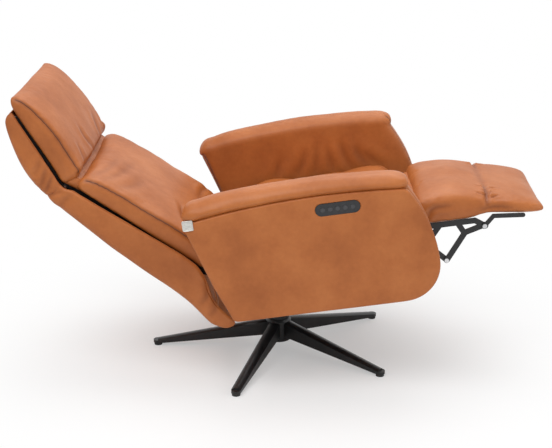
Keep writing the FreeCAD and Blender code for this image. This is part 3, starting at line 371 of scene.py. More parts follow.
def leather(name, dark, middle, light, roughness):
    """Smooth dyed leather: cloudy colour, painted shade in creases and seam grooves, fine pebble grain and
    soft gloss.
    """
    made, tree, surface = shader(name)
    cloud = noise_node(tree, 7.0, 5.0, 0.6)
    tone = ramp(tree, cloud.outputs["Fac"], [(0.3, dark), (0.5, middle), (0.72, light)])
    fleck = noise_node(tree, 95.0, 3.0, 0.5)
    speck = ramp(tree, fleck.outputs["Fac"], [(0.25, (0.9, 0.89, 0.88)), (0.75, (1.0, 1.0, 1.0))])
    colour = multiply(tree, tone.outputs["Color"], speck.outputs["Color"], 0.8)
    # Painted shade: the crease attribute darkens the colour in folds and seam grooves
    crease = add(tree, "ShaderNodeAttribute", attribute_name="crease")
    painted_shade_tint = ramp(tree, crease.outputs["Fac"], [(0.0, (1, 1, 1)), (1.0, (0.3, 0.2, 0.15))])
    colour = multiply(tree, colour, painted_shade_tint.outputs["Color"])
    tree.links.new(colour, surface.inputs["Base Color"])
    dull, glossy = (roughness + 0.06,) * 3, (roughness - 0.05,) * 3
    shine = ramp(tree, cloud.outputs["Fac"], [(0.3, dull), (0.7, glossy)])
    tree.links.new(shine.outputs["Color"], surface.inputs["Roughness"])
    place = tree.nodes["place"]
    pebble = add(tree, "ShaderNodeTexVoronoi", Scale=620.0)
    tree.links.new(place.outputs["Object"], pebble.inputs["Vector"])
    grain = add(tree, "ShaderNodeBump", Strength=0.16, Distance=0.0006)
    tree.links.new(pebble.outputs["Distance"], grain.inputs["Height"])
    pull = noise_node(tree, 60.0, 4.0, 0.6)
    soft = add(tree, "ShaderNodeBump", Strength=0.12, Distance=0.003)
    tree.links.new(pull.outputs["Fac"], soft.inputs["Height"])
    tree.links.new(grain.outputs["Normal"], soft.inputs["Normal"])
    tree.links.new(soft.outputs["Normal"], surface.inputs["Normal"])
    surface.inputs["Specular IOR Level"].default_value = 0.36
    return made


def solid(name, dark, light, roughness, scale, metallic=0.0, bump=0.05, depth=0.0004, stretch=None):
    """A moulded or painted surface with slight unevenness."""
    made, tree, surface = shader(name)
    spots = noise_node(tree, scale, 4.0, 0.6)
    if stretch:
        turn = tree.nodes.new("ShaderNodeMapping")
        turn.inputs["Scale"].default_value = stretch
        tree.links.new(tree.nodes["place"].outputs["Object"], turn.inputs["Vector"])
        tree.links.new(turn.outputs["Vector"], spots.inputs["Vector"])
    tone = ramp(tree, spots.outputs["Fac"], [(0.35, dark), (0.65, light)])
    tree.links.new(tone.outputs["Color"], surface.inputs["Base Color"])
    glossy, dull = (roughness - 0.05,) * 3, (roughness + 0.05,) * 3
    shine = ramp(tree, spots.outputs["Fac"], [(0.3, glossy), (0.7, dull)])
    tree.links.new(shine.outputs["Color"], surface.inputs["Roughness"])
    surface.inputs["Metallic"].default_value = metallic
    uneven = add(tree, "ShaderNodeBump", Strength=bump, Distance=depth)
    tree.links.new(spots.outputs["Fac"], uneven.inputs["Height"])
    tree.links.new(uneven.outputs["Normal"], surface.inputs["Normal"])
    return made


TAN = leather("tan_leather", (0.35, 0.098, 0.021), (0.43, 0.128, 0.029), (0.50, 0.16, 0.04), 0.47)
SEAM = leather("seam_leather", (0.1, 0.03, 0.012), (0.13, 0.04, 0.016), (0.16, 0.05, 0.02), 0.5)
BLACK = solid("black_paint", (0.006, 0.006, 0.0065), (0.010, 0.010, 0.011), 0.36, 60.0, bump=0.08)
STEEL = solid("bright_steel", (0.5, 0.5, 0.51), (0.68, 0.68, 0.69), 0.26, 120.0, metallic=1.0,
              bump=0.04)
BUSH = solid("bush_plastic", (0.7, 0.69, 0.65), (0.78, 0.77, 0.73), 0.5, 50.0)
RUBBER = solid("glide_rubber", (0.02, 0.02, 0.02), (0.035, 0.035, 0.035), 0.75, 80.0, bump=0.2)
WOOD = solid("ply_wood", (0.42, 0.27, 0.14), (0.62, 0.44, 0.26), 0.6, 9.0, bump=0.15, depth=0.0006,
             stretch=(1, 0.08, 1))
WEB = solid("webbing_cloth", (0.02, 0.02, 0.02), (0.05, 0.05, 0.05), 0.85, 400.0, bump=0.5)
DRIVE = solid("drive_plastic", (0.02, 0.02, 0.022), (0.035, 0.035, 0.037), 0.45, 90.0, bump=0.15)
KEYS = solid("key_plastic", (0.035, 0.035, 0.038), (0.05, 0.05, 0.054), 0.3, 60.0)
PAD = solid("keypad_plastic", (0.012, 0.012, 0.014), (0.02, 0.02, 0.022), 0.35, 90.0, bump=0.1)
TAG = solid("tag_metal", (0.5, 0.49, 0.46), (0.66, 0.65, 0.61), 0.4, 180.0, metallic=0.55, bump=0.08)
SLOTS = {
    "black_metal": BLACK, "bright_steel": STEEL, "bush_plastic": BUSH, "glide_rubber": RUBBER,
    "leather": TAN, "wood": WOOD, "webbing": WEB, "motor_plastic": DRIVE, "key_plastic": KEYS,
    "tag_metal": TAG,
}


def paint(obj, material):
    obj.data.materials.clear()
    obj.data.materials.append(material)


for part in frame["record"]["subparts"]:
    paint(nodes[part["node"]], SLOTS.get(part["material_slot"], TAN))
paint(nodes["keypad_housing"], PAD)

# The bevel on the sharp edges of each bare piece
EDGES = {
    "star_base": 0.002, "column_tube": 0.001, "swivel_plate": 0.001, "seat_frame": 0.0008,
    "mechanism_plate_left": 0.0008, "mechanism_plate_right": 0.0008, "drive_arms": 0.0007,
    "cross_link_left": 0.0007, "cross_link_right": 0.0007, "rest_frame": 0.0007,
    "flap_bracket_left": 0.0007, "flap_bracket_right": 0.0007, "knee_rivets": 0.0006,
    "toe_rivets": 0.0006, "keypad_housing": 0.0008, "foot_glides": 0.0012, "arm_tag": 0.0004,
}
EDGES.update({f"key_{number}": 0.0005 for number in range(1, 6)})
for name, width in EDGES.items():
    added = nodes[name].modifiers.new("edge", "BEVEL")
    added.width = width
    added.segments = 2
    added.limit_method = "ANGLE"
    added.angle_limit = math.radians(35)


def finish_piece(obj, body, *stands_for, material=TAN, slot="leather", fill=None):
    """Paint a piece, hide the nodes that it replaces and set it on its body, if it has just one."""
    paint(obj, material)
    if stands_for:
        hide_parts(*stands_for)
    if body:
        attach(obj, body)


# Cushions

def corner_points(across, up, radius, start, step, numbers):
    """Points round a corner about its centre, at the start angle plus a number of steps."""
    angles = [start + i * step for i in numbers]
    return [(across + radius * math.cos(a), up + radius * math.sin(a)) for a in angles]


def loop(half, low, high, crown, corner, under):
    """A cushion's section: across and up. It is flat below, boxed at the sides and crowned above."""
    bulge, count, steps = 0.0015, 15, 7
    out = []
    for i in range(count):
        t = i / (count - 1)
        out.append((-(half - under) + 2 * (half - under) * t, low))
    out += corner_points(half - under, low + under, under, -math.pi / 2, math.pi / 8, range(1, 4))
    for i in range(1, steps):
        t = i / steps
        out.append((half + bulge * 4 * t * (1 - t), low + under + (high - corner - low - under) * t))
    out += corner_points(half - corner, high - corner, corner, 0, math.pi / 10, range(5))
    for i in range(1, count):
        across = (half - corner) * (1 - 2 * i / count)
        out.append((across, high + (crown - high) * (1 - (across / half) ** 2)))
    out += corner_points(-half + corner, high - corner, corner, math.pi / 2, math.pi / 10, range(5))
    for i in range(1, steps):
        t = i / steps
        out.append((-half - bulge * 4 * t * (1 - t), high - corner + (low + under - high + corner) * t))
    out += corner_points(-half + under, low + under, under, math.pi, math.pi / 8, range(3))
    return np.array(out)


def cushion(name, place, axis, knots, step=0.014, middle=0.0, corner=0.010):
    """A closed cushion through smooth sections (at, half, low, edge, crown) along x or z.

    It comes with the lines on its left and right edge, where the seams go."""
    knots = np.asarray(knots, float)
    count = int((knots[-1, 0] - knots[0, 0]) / step) + 2
    rings, left, right = [], [], []
    for at in np.linspace(knots[0, 0], knots[-1, 0], count):
        half, low, high, crown = spline(knots, at)[0]
        room = max(high - low, 0.004)
        upper = min(corner, room * 0.45)
        section = loop(half, low, high, crown, upper, min(0.008, room * 0.4))
        across, up = section[:, 0] + middle, section[:, 1]
        flat = np.full(len(section), at)
        inset = upper * 0.3
        edge = high - inset
        if axis == "x":
            rings.append(np.column_stack([flat, across, up]))
            left.append((at, middle + half - inset, edge))
            right.append((at, middle - half + inset, edge))
        else:
            rings.append(np.column_stack([up, across, flat]))
            left.append((edge, middle + half - inset, at))
            right.append((edge, middle - half + inset, at))
    made = rings_mesh(name, rings, place)
    return made, np.array(left), np.array(right)


def seam(obj, place, path, body, name, radius=0.0013, width=0.006):
    """A sewn seam: a groove in the cover with a thin welt in it."""
    line = along_surface(obj, resample(to_row(place, path), 0.006))
    groove(obj, line, 0.003, width)
    welt = tube(name, along_surface(obj, line), radius)
    finish_piece(welt, body, material=SEAM)


def creases(obj, place, lines):
    """Folds pressed into the cover, with painted shade along their lines: each is (path, width, depth,
    ridge) and fades at its ends.
    """
    points = coords(obj)
    push_by = np.zeros(len(points))
    dark = np.zeros(len(points))
    for path, width, depth, ridge in lines:
        line = along_surface(obj, resample(to_row(place, smooth_path(path)), 0.004))
        near, index = nearest(points, line, width * 4)
        share = index / max(1, len(line) - 1)
        fade = np.sin(np.clip(share, 0.02, 0.98) * math.pi) ** 0.7
        push_by += fade * (ridge * hump(near, width * RIDGE_OFFSET, width) - depth * hump(near, 0, width))
        # Painted shade along the fold's line, stronger for a deeper fold
        fold_painted_shade = fade * hump(near, 0, width * FOLD_LINE) * min(1, depth * FOLD_SHADE_STRENGTH)
        dark = np.maximum(dark, fold_painted_shade)
    push(obj, push_by)
    shade(obj, dark)


def smooth_path(path, step=0.01):
    """A smooth curve through a few points."""
    path = np.asarray(path, float)
    if len(path) < 3:
        return path
    at = np.concatenate([[0], np.cumsum(np.linalg.norm(np.diff(path, axis=0), axis=1))])
    return spline(np.column_stack([at, path]), np.linspace(0, at[-1], max(4, int(at[-1] / step))))


# A knot of a cushion is (at, half, low, edge, crown). A fold is (path, width, depth, ridge).

def make_seat():
    """The seat cushion, flat below and with pulled corners."""
    knots = [
        (-0.079, 0.262, 0.1475, 0.196, 0.200), (-0.066, 0.269, 0.1465, 0.222, 0.228),
        (-0.04, 0.272, 0.1465, 0.234, 0.240), (0.12, 0.272, 0.1465, 0.239, 0.252),
        (0.26, 0.272, 0.1465, 0.243, 0.258), (0.335, 0.272, 0.1485, 0.246, 0.261),
        (0.37, 0.271, 0.178, 0.244, 0.257), (0.388, 0.267, 0.196, 0.232, 0.246),
        (0.395, 0.258, 0.206, 0.222, 0.230)]
    made, left, right = cushion("seat_pad", SEAT, "x", knots)
    puff(made, 0.009, 0.009)
    rumple(made, 0.1, 0.003, 1.0)
    subdivide(made)
    creases(made, SEAT, [
        ([(0.395, -0.2, 0.235), (0.33, -0.235, 0.25), (0.25, -0.262, 0.245)], 0.009, 0.004, 0.002),
        ([(0.395, 0.2, 0.235), (0.33, 0.235, 0.25), (0.25, 0.262, 0.245)], 0.009, 0.004, 0.002),
        ([(-0.05, -0.22, 0.235), (0.0, -0.15, 0.245), (0.03, -0.05, 0.25)], 0.01, 0.004, 0.002),
        ([(-0.05, 0.2, 0.235), (0.0, 0.12, 0.245), (0.02, 0.03, 0.25)], 0.01, 0.004, 0.002)])
    for side, path in (("left", left), ("right", right)):
        seam(made, SEAT, path[2:-1], "seat", f"seat_seam_{side}")
    finish_piece(made, "seat", "seat_cushion", fill=0.75)


def make_back():
    """The back cushion, with long soft folds at the top and short ones at the loin."""
    knots = [
        (0.052, 0.240, 0.012, 0.024, 0.026), (0.064, 0.250, -0.004, 0.034, 0.038),
        (0.107, 0.256, -0.010, 0.043, 0.048), (0.16, 0.257, -0.0105, 0.050, 0.058),
        (0.21, 0.257, -0.0105, 0.051, 0.060), (0.26, 0.257, -0.0105, 0.050, 0.060),
        (0.32, 0.257, -0.0105, 0.049, 0.057), (0.39, 0.257, -0.0105, 0.047, 0.053),
        (0.44, 0.257, -0.0105, 0.043, 0.048), (0.472, 0.256, -0.0105, 0.037, 0.041),
        (0.49, 0.254, -0.010, 0.029, 0.032), (0.499, 0.248, -0.007, 0.018, 0.020)]
    made, left, right = cushion("back_pad", BACK, "z", knots, corner=0.009)
    puff(made, 0.006, 0.0085)
    rumple(made, 0.12, 0.003, 3.0)
    subdivide(made)
    creases(made, BACK, [
        ([(0.04, -0.245, 0.48), (0.052, -0.15, 0.45), (0.055, 0.02, 0.43)], 0.012, 0.0015, 0.001),
        ([(0.045, -0.245, 0.45), (0.052, -0.13, 0.41), (0.055, 0.05, 0.38)], 0.014, 0.0015, 0.001),
        ([(0.05, -0.245, 0.41), (0.055, -0.16, 0.36), (0.06, -0.04, 0.33)], 0.016, 0.0015, 0.001),
        ([(0.055, -0.25, 0.15), (0.06, -0.18, 0.19), (0.06, -0.08, 0.22)], 0.010, 0.003, 0.002),
        ([(0.055, -0.25, 0.11), (0.058, -0.16, 0.13), (0.06, 0.0, 0.15)], 0.010, 0.003, 0.002),
        ([(0.055, 0.25, 0.14), (0.058, 0.16, 0.16), (0.06, 0.06, 0.165)], 0.010, 0.003, 0.002)])
    for side, path in (("left", left), ("right", right)):
        seam(made, BACK, path[3:-1], "back", f"back_seam_{side}")
    finish_piece(made, "back", "back_cushion", "back_board", fill=0.75)


def make_headrest():
    """The headrest cushion, thickest in its lower half."""
    knots = [
        (0.004, 0.238, 0.010, 0.046, 0.050), (0.012, 0.247, 0.0045, 0.062, 0.067),
        (0.04, 0.249, 0.0035, 0.070, 0.076), (0.076, 0.249, 0.0035, 0.071, 0.077),
        (0.12, 0.249, 0.0035, 0.071, 0.077), (0.16, 0.249, 0.0035, 0.068, 0.074),
        (0.207, 0.249, 0.0035, 0.060, 0.066), (0.246, 0.249, 0.004, 0.049, 0.054),
        (0.268, 0.248, 0.006, 0.039, 0.042), (0.28, 0.244, 0.010, 0.029, 0.031),
        (0.285, 0.238, 0.014, 0.022, 0.023)]
    made, left, right = cushion("headrest_pad", HEAD, "z", knots, step=0.009, corner=0.009)
    puff(made, 0.0045, 0.007)
    rumple(made, 0.1, 0.0025, 5.0)
    subdivide(made)
    creases(made, HEAD, [
        ([(0.074, -0.03, 0.012), (0.078, -0.06, 0.06), (0.078, -0.05, 0.11)], 0.012, 0.003, 0.002),
        ([(0.07, 0.2, 0.008), (0.078, 0.215, 0.04), (0.075, 0.24, 0.07)], 0.01, 0.004, 0.003),
        ([(0.07, 0.1, 0.008), (0.078, 0.12, 0.05), (0.078, 0.16, 0.09)], 0.014, 0.003, 0.002),
        ([(0.07, -0.18, 0.008), (0.078, -0.17, 0.04), (0.078, -0.15, 0.08)], 0.012, 0.0025, 0.002)])
    for side, path in (("left", left), ("right", right)):
        seam(made, HEAD, path[1:-1], "head", f"headrest_seam_{side}")
    finish_piece(made, "head", "headrest_cushion", "head_board", fill=0.8)


def make_leg_rest():
    """One cover over the leg rest and the flip-out end, which bends at the toe pivot."""
    knots = [
        (0.424, 0.178, 0.203, 0.236, 0.248), (0.430, 0.189, 0.191, 0.249, 0.261),
        (0.450, 0.194, 0.1875, 0.258, 0.271), (0.50, 0.195, 0.188, 0.262, 0.277),
        (0.545, 0.195, 0.1895, 0.260, 0.276), (0.585, 0.194, 0.192, 0.252, 0.266),
        (0.612, 0.193, 0.198, 0.243, 0.255), (0.628, 0.192, 0.200, 0.236, 0.249),
        (0.65, 0.193, 0.198, 0.232, 0.245), (0.70, 0.193, 0.191, 0.223, 0.235),
        (0.74, 0.191, 0.184, 0.211, 0.222), (0.768, 0.186, 0.180, 0.200, 0.208),
        (0.786, 0.177, 0.179, 0.190, 0.194)]
    made, _, _ = cushion("foot_pad", SEAT, "x", knots, step=0.009, corner=0.012)
    puff(made, 0.006, 0.007)
    rumple(made, 0.08, 0.003, 7.0)
    subdivide(made)
    folds = []
    for end in (-1, 1):
        across = [(0.624, end * 0.192, 0.21), (0.627, end * 0.185, 0.238),
                  (0.629, end * 0.14, 0.246), (0.632, end * 0.07, 0.25)]
        folds.append((across, 0.006, 0.005, 0.0025))
    folds.append(([(0.63, -0.11, 0.248), (0.627, 0.0, 0.25), (0.63, 0.11, 0.248)], 0.012, 0.002, 0.001))
    for at, lean in ((-0.17, 0.03), (-0.15, 0.012), (-0.12, 0.028), (0.12, 0.02), (0.16, 0.03)):
        forward = [(0.633, at, 0.235), (0.633 + lean, at + 0.012, 0.236)]
        rearward = [(0.62, at + 0.008, 0.24), (0.62 - lean * 0.8, at + 0.016, 0.246)]
        folds.append((forward, 0.004, 0.003, 0.002))
        folds.append((rearward, 0.004, 0.003, 0.002))
    rear_side = [(0.45, -0.185, 0.2), (0.47, -0.19, 0.23), (0.53, -0.19, 0.235)]
    toe_side = [(0.60, -0.188, 0.21), (0.64, -0.187, 0.215), (0.70, -0.185, 0.205)]
    folds.append((rear_side, 0.008, 0.003, 0.002))
    folds.append((toe_side, 0.007, 0.003, 0.002))
    creases(made, SEAT, folds)
    finish_piece(made, None, "rest_cushion", "rest_board", "flap_cushion", "flap_board", fill=0.8)
    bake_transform(made)
    make_knee_cover()


def make_knee_cover():
    """The leather that bridges the seat and the leg rest, with a deep fold across it."""
    knots = [
        (0.372, 0.205, 0.218, 0.236, 0.244), (0.384, 0.212, 0.212, 0.242, 0.250),
        (0.400, 0.208, 0.208, 0.240, 0.250), (0.412, 0.200, 0.206, 0.232, 0.242),
        (0.424, 0.194, 0.205, 0.238, 0.250), (0.436, 0.188, 0.206, 0.240, 0.252),
        (0.444, 0.182, 0.210, 0.236, 0.246)]
    made, _, _ = cushion("knee_cover", SEAT, "x", knots, step=0.006, corner=0.008)
    remesh(made, 0.005)
    rumple(made, 0.05, 0.003, 21.0)
    subdivide(made)
    across = [(0.413, -0.195, 0.215), (0.412, -0.1, 0.24), (0.411, 0.1, 0.24), (0.413, 0.195, 0.215)]
    creases(made, SEAT, [
        (across, 0.006, 0.005, 0.002),
        ([(0.39, -0.19, 0.24), (0.42, -0.12, 0.245)], 0.006, 0.003, 0.002),
        ([(0.39, 0.19, 0.24), (0.42, 0.12, 0.245)], 0.006, 0.003, 0.002)])
    finish_piece(made, None, fill=0.6)
    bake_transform(made)


# Arms

def outline_rings(outline, y_low, y_high, rounding, bow, steps, layers):
    """Rings of a padded panel in x and z between two y levels, with round edges and a bowed face."""
    ahead = np.roll(outline, -1, 0) - np.roll(outline, 1, 0)
    ahead /= np.linalg.norm(ahead, axis=1)[:, None]
    inward = np.column_stack([-ahead[:, 1], ahead[:, 0]])
    middle = outline.mean(axis=0)
    if ((middle - outline) * inward).sum() < 0:
        inward = -inward
    direction = 1 if y_high > y_low else -1
    thick = abs(y_high - y_low)
    rings = []

    def ring(inset, depth, scale=1.0):
        flat = outline + inward * inset
        flat = middle + (flat - middle) * scale
        level = np.full(len(flat), y_low + direction * depth)
        rings.append(np.column_stack([flat[:, 0], level, flat[:, 1]]))

    for scale in (0.12, 0.4, 0.7, 0.9):
        ring(0.002, 0, scale)
    ring(0.0015, 0)
    ring(0.0, 0.0015)
    for i in range(1, steps):
        ring(0.0, 0.0015 + (thick - rounding - 0.0015) * i / steps)
    for i in range(5):
        a = i * math.pi / 8
        ring(rounding * (1 - math.cos(a)), thick - rounding + rounding * math.sin(a))
    for i in range(1, layers):
        share = i / layers
        ring(rounding, thick + bow * (1 - (1 - share) ** 2), 1 - share)
    return rings


def arc_points(first, middle, last, count):
    """Points along the circle through three points."""
    (ax, az), (bx, bz), (cx, cz) = first, middle, last
    d = 2 * (ax * (bz - cz) + bx * (cz - az) + cx * (az - bz))
    a2, b2, c2 = ax ** 2 + az ** 2, bx ** 2 + bz ** 2, cx ** 2 + cz ** 2
    ux = (a2 * (bz - cz) + b2 * (cz - az) + c2 * (az - bz)) / d
    uz = (a2 * (cx - bx) + b2 * (ax - cx) + c2 * (bx - ax)) / d
    start = math.atan2(az - uz, ax - ux)
    mid = start + math.remainder(math.atan2(bz - uz, bx - ux) - start, 2 * math.pi)
    end = mid + math.remainder(math.atan2(cz - uz, cx - ux) - mid, 2 * math.pi)
    radius = math.hypot(ax - ux, az - uz)
    angles = np.linspace(start, end, count)
    return [(ux + radius * math.cos(a), uz + radius * math.sin(a)) for a in angles]


# The arm seen from the side. Its lower front corner is round about CORNER, its top is an arc.
ARM_LOW = 0.041
ARM_FRONT = 0.468
CORNER_RADIUS = 0.1
CORNER = (0.368, 0.141)
TOP_FRONT = (0.396, 0.368)
TOP_MIDDLE = (0.147, 0.380)
TOP_REAR = (-0.203, 0.347)
# Distances from the middle plane: the panel's back and face, the sleeve's two sides, the pad and the folds
PANEL_BACK = 0.3555
PANEL_FACE = 0.3695
SLEEVE_OUTER = 0.3545
SLEEVE_INNER = 0.2855
PAD_MIDDLE = 0.3285
FOLD_LEVEL = 0.283
FRONT_SEAM = 0.30


def arm_outline(inset, drop):
    """The arm's side outline: straight rear, round lower front, bowed front and top."""
    low = ARM_LOW + inset
    front = ARM_FRONT - inset
    slant = (CORNER_RADIUS - inset) * 0.7071
    corner_x, corner_z = CORNER
    top_front = (TOP_FRONT[0] - inset + drop * 0.45, TOP_FRONT[1] - drop)
    top_middle = (TOP_MIDDLE[0], TOP_MIDDLE[1] - drop)
    top_rear = (TOP_REAR[0] + inset * 1.5, TOP_REAR[1] - drop)
    corner_middle = (corner_x + slant, corner_z - slant)
    points = [(-0.104 + inset * 1.3, low), (corner_x, low)]
    points += arc_points((corner_x, low), corner_middle, (front, corner_z), 14)[1:]
    points += arc_points((front, corner_z), (0.45 - inset, 0.2545), top_front, 14)[1:]
    points += arc_points(top_front, top_middle, top_rear, 30)[1:]
    points.append((-0.145 + inset * 1.4, 0.148))
    points.append(points[0])
    even = resample(points, 0.008)[:-1]
    # Soften the corners of the resampled outline
    for _ in range(2):
        even = (np.roll(even, 1, 0) + 2 * even + np.roll(even, -1, 0)) / 4
    return even


def arm_top(x):
    """Height of the panel's top arc at x."""
    line = np.array(arc_points(TOP_FRONT, TOP_MIDDLE, TOP_REAR, 60))[::-1]
    return float(np.interp(x, line[:, 0], line[:, 1]))


def make_panel(side, sign):
    """The leather panel on an arm's outer side."""
    rings = outline_rings(arm_outline(0.0, 0.012), sign * PANEL_BACK, sign * PANEL_FACE,
                          rounding=0.006, bow=0.001, steps=5, layers=24)
    made = rings_mesh(f"arm_cover_{side}", rings, SEAT)
    rumple(made, 0.12, 0.0007, 11 + sign)
    if sign < 0:
        cut_pocket(made)
    finish_piece(made, "seat", f"arm_panel_{side}")


def cut_pocket(panel):
    """Open the pocket that the keypad sits in."""
    height, radius, outside, floor = 0.329, 0.0175, -0.38, -0.3635
    points = []
    for centre, start in ((0.257, -90), (0.171, 90)):
        for i in range(25):
            a = math.radians(start + i * 7.5)
            points.append((centre + radius * math.cos(a), height + radius * math.sin(a)))
    flat = np.array(points)
    rings = [np.column_stack([flat[:, 0], np.full(len(flat), y), flat[:, 1]]) for y in (outside, floor)]
    cutter = rings_mesh("pocket", rings, SEAT)
    added = panel.modifiers.new("pocket", "BOOLEAN")
    added.object = cutter
    added.operation = "DIFFERENCE"
    added.solver = "EXACT"
    bake(panel)
    bpy.data.objects.remove(cutter)


def join(first, second):
    """Join two meshes into the first object."""
    work = bmesh.new()
    work.from_mesh(first.data)
    work.from_mesh(second.data)
    work.to_mesh(first.data)
    work.free()
    bpy.data.objects.remove(second)


def pad_knots(sign):
    """The knots of an arm's top pad, whose heights are over the panel's top arc."""
    sections = [
        (-0.205, 0.034, 0.000, 0.010, 0.014), (-0.195, 0.040, -0.006, 0.022, 0.027),
        (-0.15, 0.0425, -0.008, 0.029, 0.037), (-0.05, 0.043, -0.009, 0.031, 0.041),
        (0.05, 0.043, -0.009, 0.031, 0.042), (0.15, 0.043, -0.009, 0.031, 0.042),
        (0.25, 0.043, -0.009, 0.031, 0.041), (0.33, 0.043, -0.009, 0.030, 0.040),
        (0.385, 0.042, -0.008, 0.028, 0.037), (0.402, 0.040, -0.006, 0.022, 0.030),
        (0.411, 0.036, 0.000, 0.014, 0.019)]
    sag = 0.003 if sign > 0 else 0.009
    knots = []
    for x, half, low, edge, crown in sections:
        arc = arm_top(min(x, 0.395))
        top = arc - sag * float(smooth_step(x, -0.2, 0.1))
        knots.append((x, half, arc + low + 0.002, top + edge, top + crown))
    return knots


def inner_folds(inner):
    """Upright folds on an arm's inner side, at y inner, that lean together at their tops."""
    foot = 0.235
    folds = []
    for at, lean, height in ((0.02, 0.03, 0.31), (0.09, 0.045, 0.33), (0.15, 0.02, 0.35),
                             (0.21, -0.01, 0.33), (0.27, -0.03, 0.34), (0.33, -0.05, 0.32),
                             (0.37, -0.06, 0.30)):
        middle = (at + lean * 0.6, inner, (foot + height) / 2)
        folds.append(([(at, inner, foot), middle, (at + lean, inner, height)], 0.014, 0.002, 0.0015))
    return folds


def make_sleeve(side, sign):
    """An arm's upholstered inner body, in one piece with the top pad that overhangs the panel."""
    outline = arm_outline(0.003, -0.016)
    forward = smooth_step(outline[:, 0], 0.36, 0.40)
    outline[:, 0] += 0.006 * forward * smooth_step(outline[:, 1], 0.12, 0.25)
    rings = outline_rings(outline, sign * SLEEVE_OUTER, sign * SLEEVE_INNER,
                          rounding=0.010, bow=0.0, steps=7, layers=6)
    made = rings_mesh(f"arm_sleeve_{side}", rings, SEAT)
    pad, _, _ = cushion("pad_part", SEAT, "x", pad_knots(sign),
                        step=0.01, middle=sign * PAD_MIDDLE, corner=0.016)
    join(made, pad)
    puff(made, 0.003, 0.007)
    relax(made, 4)
    rumple(made, 0.09, 0.0018, 13 + sign)
    subdivide(made)
    inner = sign * FOLD_LEVEL
    front_y = sign * FRONT_SEAM
    creases(made, SEAT, inner_folds(inner))
    rear = [(-0.190, inner, 0.345), (-0.178, inner, 0.31), (-0.152, inner, 0.2), (-0.118, inner, 0.09)]
    seam(made, SEAT, rear, "seat", f"arm_rear_seam_{side}", 0.001, 0.005)
    front = [(0.398, front_y, 0.395), (0.425, front_y, 0.32), (0.452, front_y, 0.22)]
    seam(made, SEAT, front, "seat", f"arm_front_seam_{side}", 0.001, 0.005)
    finish_piece(made, "seat", f"arm_core_{side}", f"arm_pad_{side}", fill=0.9)


def make_tag():
    """A blank pressed tag with a raised rim, on the rear corner of the right arm."""
    front, rear, top, foot, radius = -0.1755, -0.1975, 0.3445, 0.3225, 0.0035
    outline = []
    for x, z, start in ((front, top, 0), (rear, top, 90), (rear, foot, 180), (front, foot, 270)):
        for i in range(6):
            a = math.radians(start + i * 18)
            outline.append((x + radius * math.cos(a), z + radius * math.sin(a)))
    outline = np.array(outline)
    middle = outline.mean(axis=0)
    behind, side, rim, face = -0.3700, -0.3722, -0.3730, -0.3724
    rings = []
    for scale, y in ((0.3, behind), (1.0, behind), (1.0, side), (0.985, rim), (0.93, rim),
                     (0.90, face), (0.5, face), (0.2, face)):
        flat = middle + (outline - middle) * scale
        rings.append(np.column_stack([flat[:, 0], np.full(len(flat), y), flat[:, 1]]))
    made = rings_mesh("arm_label", rings, SEAT)
    finish_piece(made, "seat", "arm_tag", material=TAG, slot="tag_metal")


# Shells

SHELL_WALL = 0.0095
LIP_POINTS = 3


def u_line(half, rear, tip, bend, side):
    """Points round a U that is open at the front, from the tip on one side, 1 or -1, to the other."""
    quarter = np.linspace(0, math.pi / 2, 6)[1:]
    flat = half - bend
    line = [(x, side * half) for x in np.linspace(tip, rear + bend, 8)]
    line += [(rear + bend - bend * math.sin(a), side * (flat + bend * math.cos(a))) for a in quarter]
    line += [(rear, y) for y in np.linspace(side * flat, -side * flat, 19)[1:]]
    line += [(rear + bend - bend * math.cos(a), -side * (flat + bend * math.sin(a))) for a in quarter]
    line += [(x, -side * half) for x in np.linspace(rear + bend, tip, 8)[1:]]
    return line


def lip_points(half, tip, radius, side):
    """Points over the rolled lip at the tip of a wall."""
    angles = [i * math.pi / (LIP_POINTS + 1) for i in range(1, LIP_POINTS + 1)]
    return [(tip + radius * math.sin(a), side * (half - radius + radius * math.cos(a))) for a in angles]


def trough(half, rear, front, wall):
    """A U-shaped section, open at the front: outer side, left lip, inner side, right lip."""
    bend = min(0.022, (front - rear) * 0.3)
    lip = wall * 0.5
    tip = front - lip
    outer = u_line(half, rear, tip, bend, -1)
    inner = u_line(half - wall, rear + wall, tip, max(bend - wall, 0.003), 1)
    return np.array(outer + lip_points(half, tip, lip, 1) + inner + lip_points(half, tip, lip, -1))


def close_ends(obj, levels, count):
    """Close the cut wall between the outer and inner side at both ends."""
    work = bmesh.new()
    work.from_mesh(obj.data)
    work.verts.ensure_lookup_table()
    side = (count - 2 * LIP_POINTS) // 2
    for base in (0, (levels - 1) * count):
        outer = [base + i for i in range(side)]
        inner = [base + side + LIP_POINTS + i for i in range(side)][::-1]
        for i in range(side - 1):
            work.faces.new([work.verts[k] for k in (outer[i], outer[i + 1], inner[i + 1], inner[i])])
        left = [base + side + i for i in range(LIP_POINTS)]
        work.faces.new([work.verts[k] for k in [outer[-1]] + left + [inner[-1]]])
        right = [base + count - LIP_POINTS + i for i in range(LIP_POINTS)]
        work.faces.new([work.verts[k] for k in [inner[0]] + right + [outer[0]]])
    bmesh.ops.recalc_face_normals(work, faces=work.faces)
    work.to_mesh(obj.data)
    work.free()
    for face in obj.data.polygons:
        face.use_smooth = True


def shell_rings(knots, count, wall):
    """Rings of a trough that rises through smooth sections (at, half, rear, front)."""
    rings = []
    for z in np.linspace(knots[0][0], knots[-1][0], count):
        half, rear, front = spline(knots, z)[0]
        flat = trough(half, rear, front, wall)
        rings.append(np.column_stack([flat[:, 0], flat[:, 1], np.full(len(flat), z)]))
    return rings


def shell_mesh(name, rings, place, size, height, seed):
    """A cover through troughs, rumpled by a height over a size."""
    made = rings_mesh(name, rings, place, caps=False)
    close_ends(made, len(rings), len(rings[0]))
    rumple(made, size, height, seed)
    subdivide(made)
    return made


